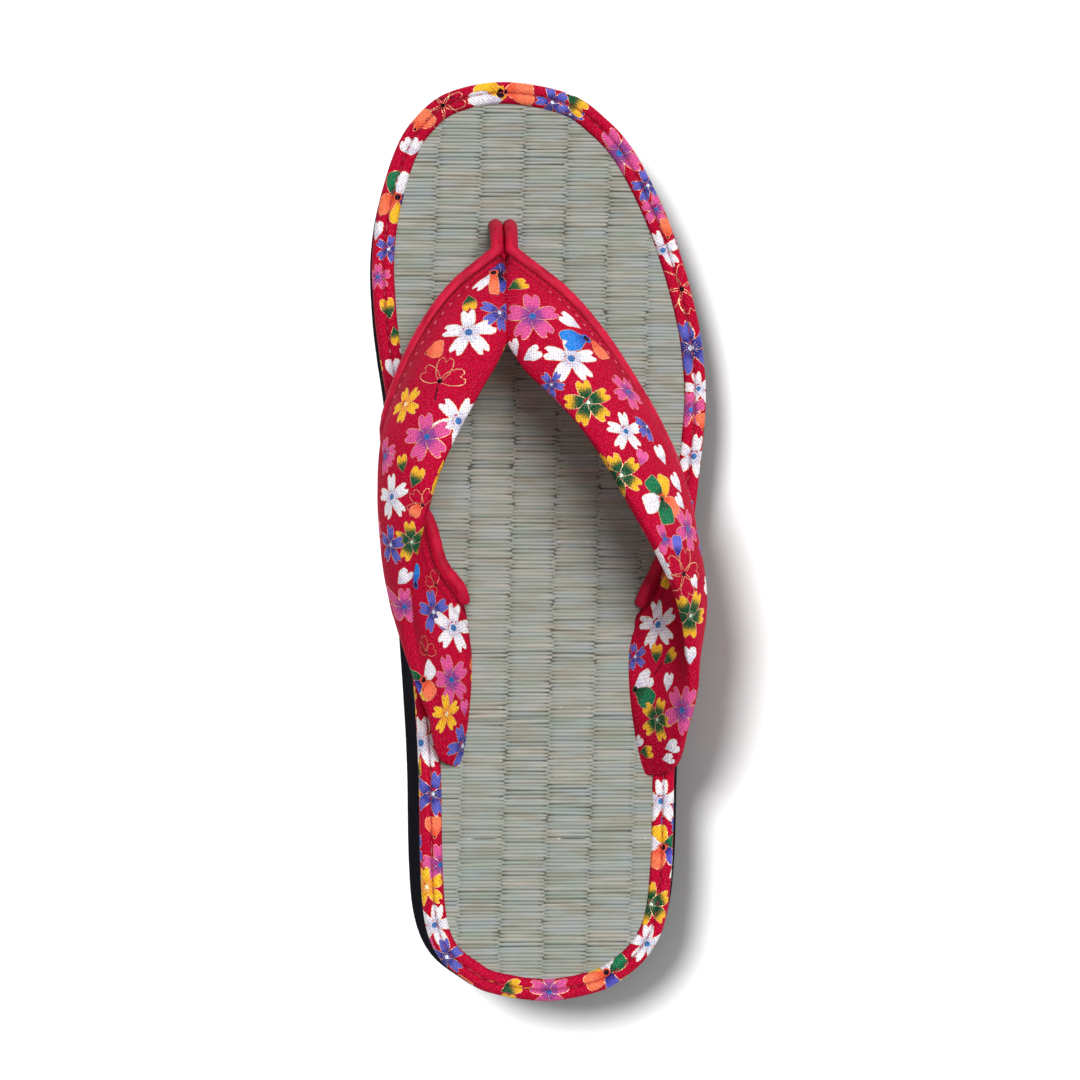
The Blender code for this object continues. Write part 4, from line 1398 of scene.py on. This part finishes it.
def seamStitches(name, line, every, length, material):
    # Stitches at even spacing along a line
    reach = lengthsAlong(line)
    at = np.arange(every / 2, reach[-1] - every / 2, every)
    points, ahead, behind = (
        np.column_stack([np.interp(at + shift * every, reach, column) for column in line.T])
        for shift in (0, 0.4, -0.4)
    )
    ways = (ahead - behind) / np.linalg.norm(ahead - behind, axis=1, keepdims=True)
    turns = [(0.0, -math.asin(np.clip(way[2], -1, 1)), math.atan2(way[1], way[0])) for way in ways]
    sizes = np.tile([length, stitch["width"], stitch["width"]], (len(points), 1))
    return layStrands(name, points, turns, sizes, np.full(len(points), 0.5), stitch["strand"], material)


def tackPiece(material):
    points, turns, sizes, tints = [], [], [], []

    def addThread(x, y, rise, turn, size, tint):
        across, along = photoPoint(x, y)[:2]
        points.append((across, along, matTop(along) + rise))
        turns.append((0, 0, turn))
        sizes.append(size)
        tints.append(tint)

    for y, row in tack["rows"]:
        for x in row:
            addThread(x, y, tack["rise"], tack["turn"], tack["size"], 0.5)
    # The sunk lengths are thin threads painted dark as the shade in the gaps where the thread sinks between
    # the stalks
    for y, fromX, toX in tack["sunkRows"]:
        size = ((toX - fromX) / photo["pixelsPerMetre"], tack["sunk"], tack["sunk"])
        addThread((fromX + toX) / 2, y, tack["sunkRise"], 0, size, 0.0)
    return layStrands("mat_tacks", points, turns, sizes, tints, tack["strand"], material)


print("stitches")
pinkThread = sewingThread("pink polyester sewing thread", stitch["pink"])
redThread = sewingThread("red polyester sewing thread", stitch["red"])
stitches = [
    seamStitches(
        "flange_stitches_" + side, piece["seam"][14:-28], stitch["every"], stitch["length"], pinkThread
    )
    for side, piece in zip(cords, pieces)
]
stitches.append(
    seamStitches("binding_stitches", pieces[2]["seam"], binding["puckerEvery"], binding["stitch"], redThread)
)
tacks = tackPiece(tackThread())


# Sole

sole = {
    "flare": 3.0 * mm,
    "flareDrop": 0.8,
    "inset": 0.4 * mm,
    "edgeRound": 1.6 * mm,
    "lowerTurns": (0, 20, 45, 70, 90),
    "sideShares": (0.25, 0.5, 0.75),
    "upperTurns": (0, 45, 90),
    "stepsPerRow": 16,
    "colours": ("#17171C", "#25252C"),
}


def foamRubber():
    # Moulded closed cell foam rubber: black, matt, with a fine pebbled skin
    constants = {"Metallic": 0.0, "Specular IOR Level": 0.0}
    material, tree = newMaterial("moulded black foam rubber", constants)
    place = ownPlace(tree)
    scuffs = noise(tree, place, 45.0, 5.0)
    values = {
        "Base Color": mixColour(tree, scuffs, *sole["colours"]),
        "Roughness": maths(tree, "MULTIPLY_ADD", scuffs, 0.2, 0.62),
    }
    return patterned(material, values, (0.35, 0.15 * mm, noise(tree, place, 1400.0)))


def solePiece(material):
    outline = footbedOutline(sole["stepsPerRow"])
    flare = sole["flare"] * alongProfile("flare", outline[:, 1])
    edge, upper = sole["edgeRound"], sole["edgeRound"] / 2
    rings = []

    def addRing(distance, share, lift):
        # A ring at a share of the height from the underside, lifted by a little more
        plan = outset(outline, distance)
        low, high = soleBottom(plan[:, 1]), soleTop(plan[:, 1])
        rings.append(np.column_stack([plan, low + (high - low) * share + lift]))

    for turn in np.radians(sole["lowerTurns"]):
        addRing(flare - edge * (1 - math.sin(turn)), 0, edge * (1 - math.cos(turn)))
    for share in sole["sideShares"]:
        lean = flare * (1 - share * (2 - share) * sole["flareDrop"]) - sole["inset"] * share
        addRing(lean, share, edge - (edge + upper) * share)
    for turn in np.radians(sole["upperTurns"]):
        addRing(-sole["inset"] - upper * (1 - math.cos(turn)), 1, -upper * (1 - math.sin(turn)))

    # Underside and top are ladders between the two halves of a ring, which starts at the heel
    size = len(outline)
    toe = size // 2
    rungs = [(0, 1, size - 1), (toe - 1, toe, toe + 1)]
    rungs += [(left, left + 1, size - left - 1, size - left) for left in range(1, toe - 1)]
    faces = tubeFaces(len(rings), size)
    for first in (0, (len(rings) - 1) * size):
        faces += [tuple(first + corner for corner in rung) for rung in rungs]
    return meshObject("foam_sole", np.vstack(rings), faces, material, sharp=50)


print("sole")
soleMade = solePiece(foamRubber())

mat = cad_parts["footbed_mat"]
mat.data.materials.clear()
mat.data.materials.append(matBoard())

print("what the pieces are")
for piece in (pieces[0], pieces[1], pieces[3]):
    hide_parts("upper")
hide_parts("edge_binding")
for side, made in cords.items():
    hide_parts("piping_" + side)
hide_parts("sole")
for made in (*(piece["made"] for piece in pieces), *cords.values(), rushLaid, tacks, soleMade, *stitches):
    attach(made, "root")


# Floor, lights and camera. Each light has a name, where it comes from, its spread in degrees,
# its strength and
# whether it falls on the floor alone or on all but the floor: the photo's shadow on the floor
# was drawn in and
# points another way than the shoe's own.

studio = {
    "floor": 10.0,
    "floorColour": "#FFFFFF",
    "lights": (
        ("drop light", (-0.38, 0.34, 1.0), 18, 3.35, "INCLUDE"),
        ("shoe light", (0.22, 0.32, 1.0), 30, 2.55, "EXCLUDE"),
        ("soft light", (-0.06, 0.16, 1.0), 90, 0.72, None),
    ),
    "worldColour": "#FFFFFF",
    "worldStrength": 0.13,
    "lens": 114.6,
    "sensor": 36.0,
}


def floorPiece():
    # White paint rolled on board, almost matt
    constants = {"Base Color": hexColour(studio["floorColour"]), "Roughness": 0.9, "Specular IOR Level": 0.1}
    material = newMaterial("white painted studio board", constants)[0]
    half = studio["floor"] / 2
    corners = [(-half, -half, 0), (half, -half, 0), (half, half, 0), (-half, half, 0)]
    return meshObject("studio_floor", corners, [(0, 1, 2, 3)], material, closed=False)


def studioLight(name, comesFrom, lightSpread, strength, floorIs):
    lamp = bpy.data.lights.new(name, "SUN")
    lamp.angle = math.radians(lightSpread)
    lamp.energy = strength
    made = sceneObject(name, lamp)
    made.location = comesFrom
    made.rotation_euler = Vector(comesFrom).to_track_quat("Z", "Y").to_euler()
    if floorIs:
        receivers = bpy.data.collections.new(name)
        receivers.objects.link(floor)
        receivers.collection_objects[0].light_linking.link_state = floorIs
        made.light_linking.receiver_collection = receivers


print("floor, lights and camera")
floor = floorPiece()
for light in studio["lights"]:
    studioLight(*light)
world = bpy.data.worlds.new("studio")
world.use_nodes = True
background = world.node_tree.nodes["Background"]
background.inputs["Color"].default_value = hexColour(studio["worldColour"])
background.inputs["Strength"].default_value = studio["worldStrength"]
bpy.context.scene.world = world
bpy.context.scene.view_settings.view_transform = "Standard"

camera = bpy.data.cameras.new("camera")
camera.lens = studio["lens"]
camera.sensor_width = studio["sensor"]
cameraMade = sceneObject("camera", camera)
eye = Vector(photo["eye"])
target = Vector((0.0, 0.0, photo["bed"]))
backwards = (eye - target).normalized()
rightwards = Vector((0, 1, 0)).cross(backwards).normalized()
upwards = backwards.cross(rightwards)
turn = Matrix((rightwards, upwards, backwards)).transposed()
cameraMade.matrix_world = Matrix.Translation(eye) @ turn.to_4x4()
bpy.context.scene.camera = cameraMade
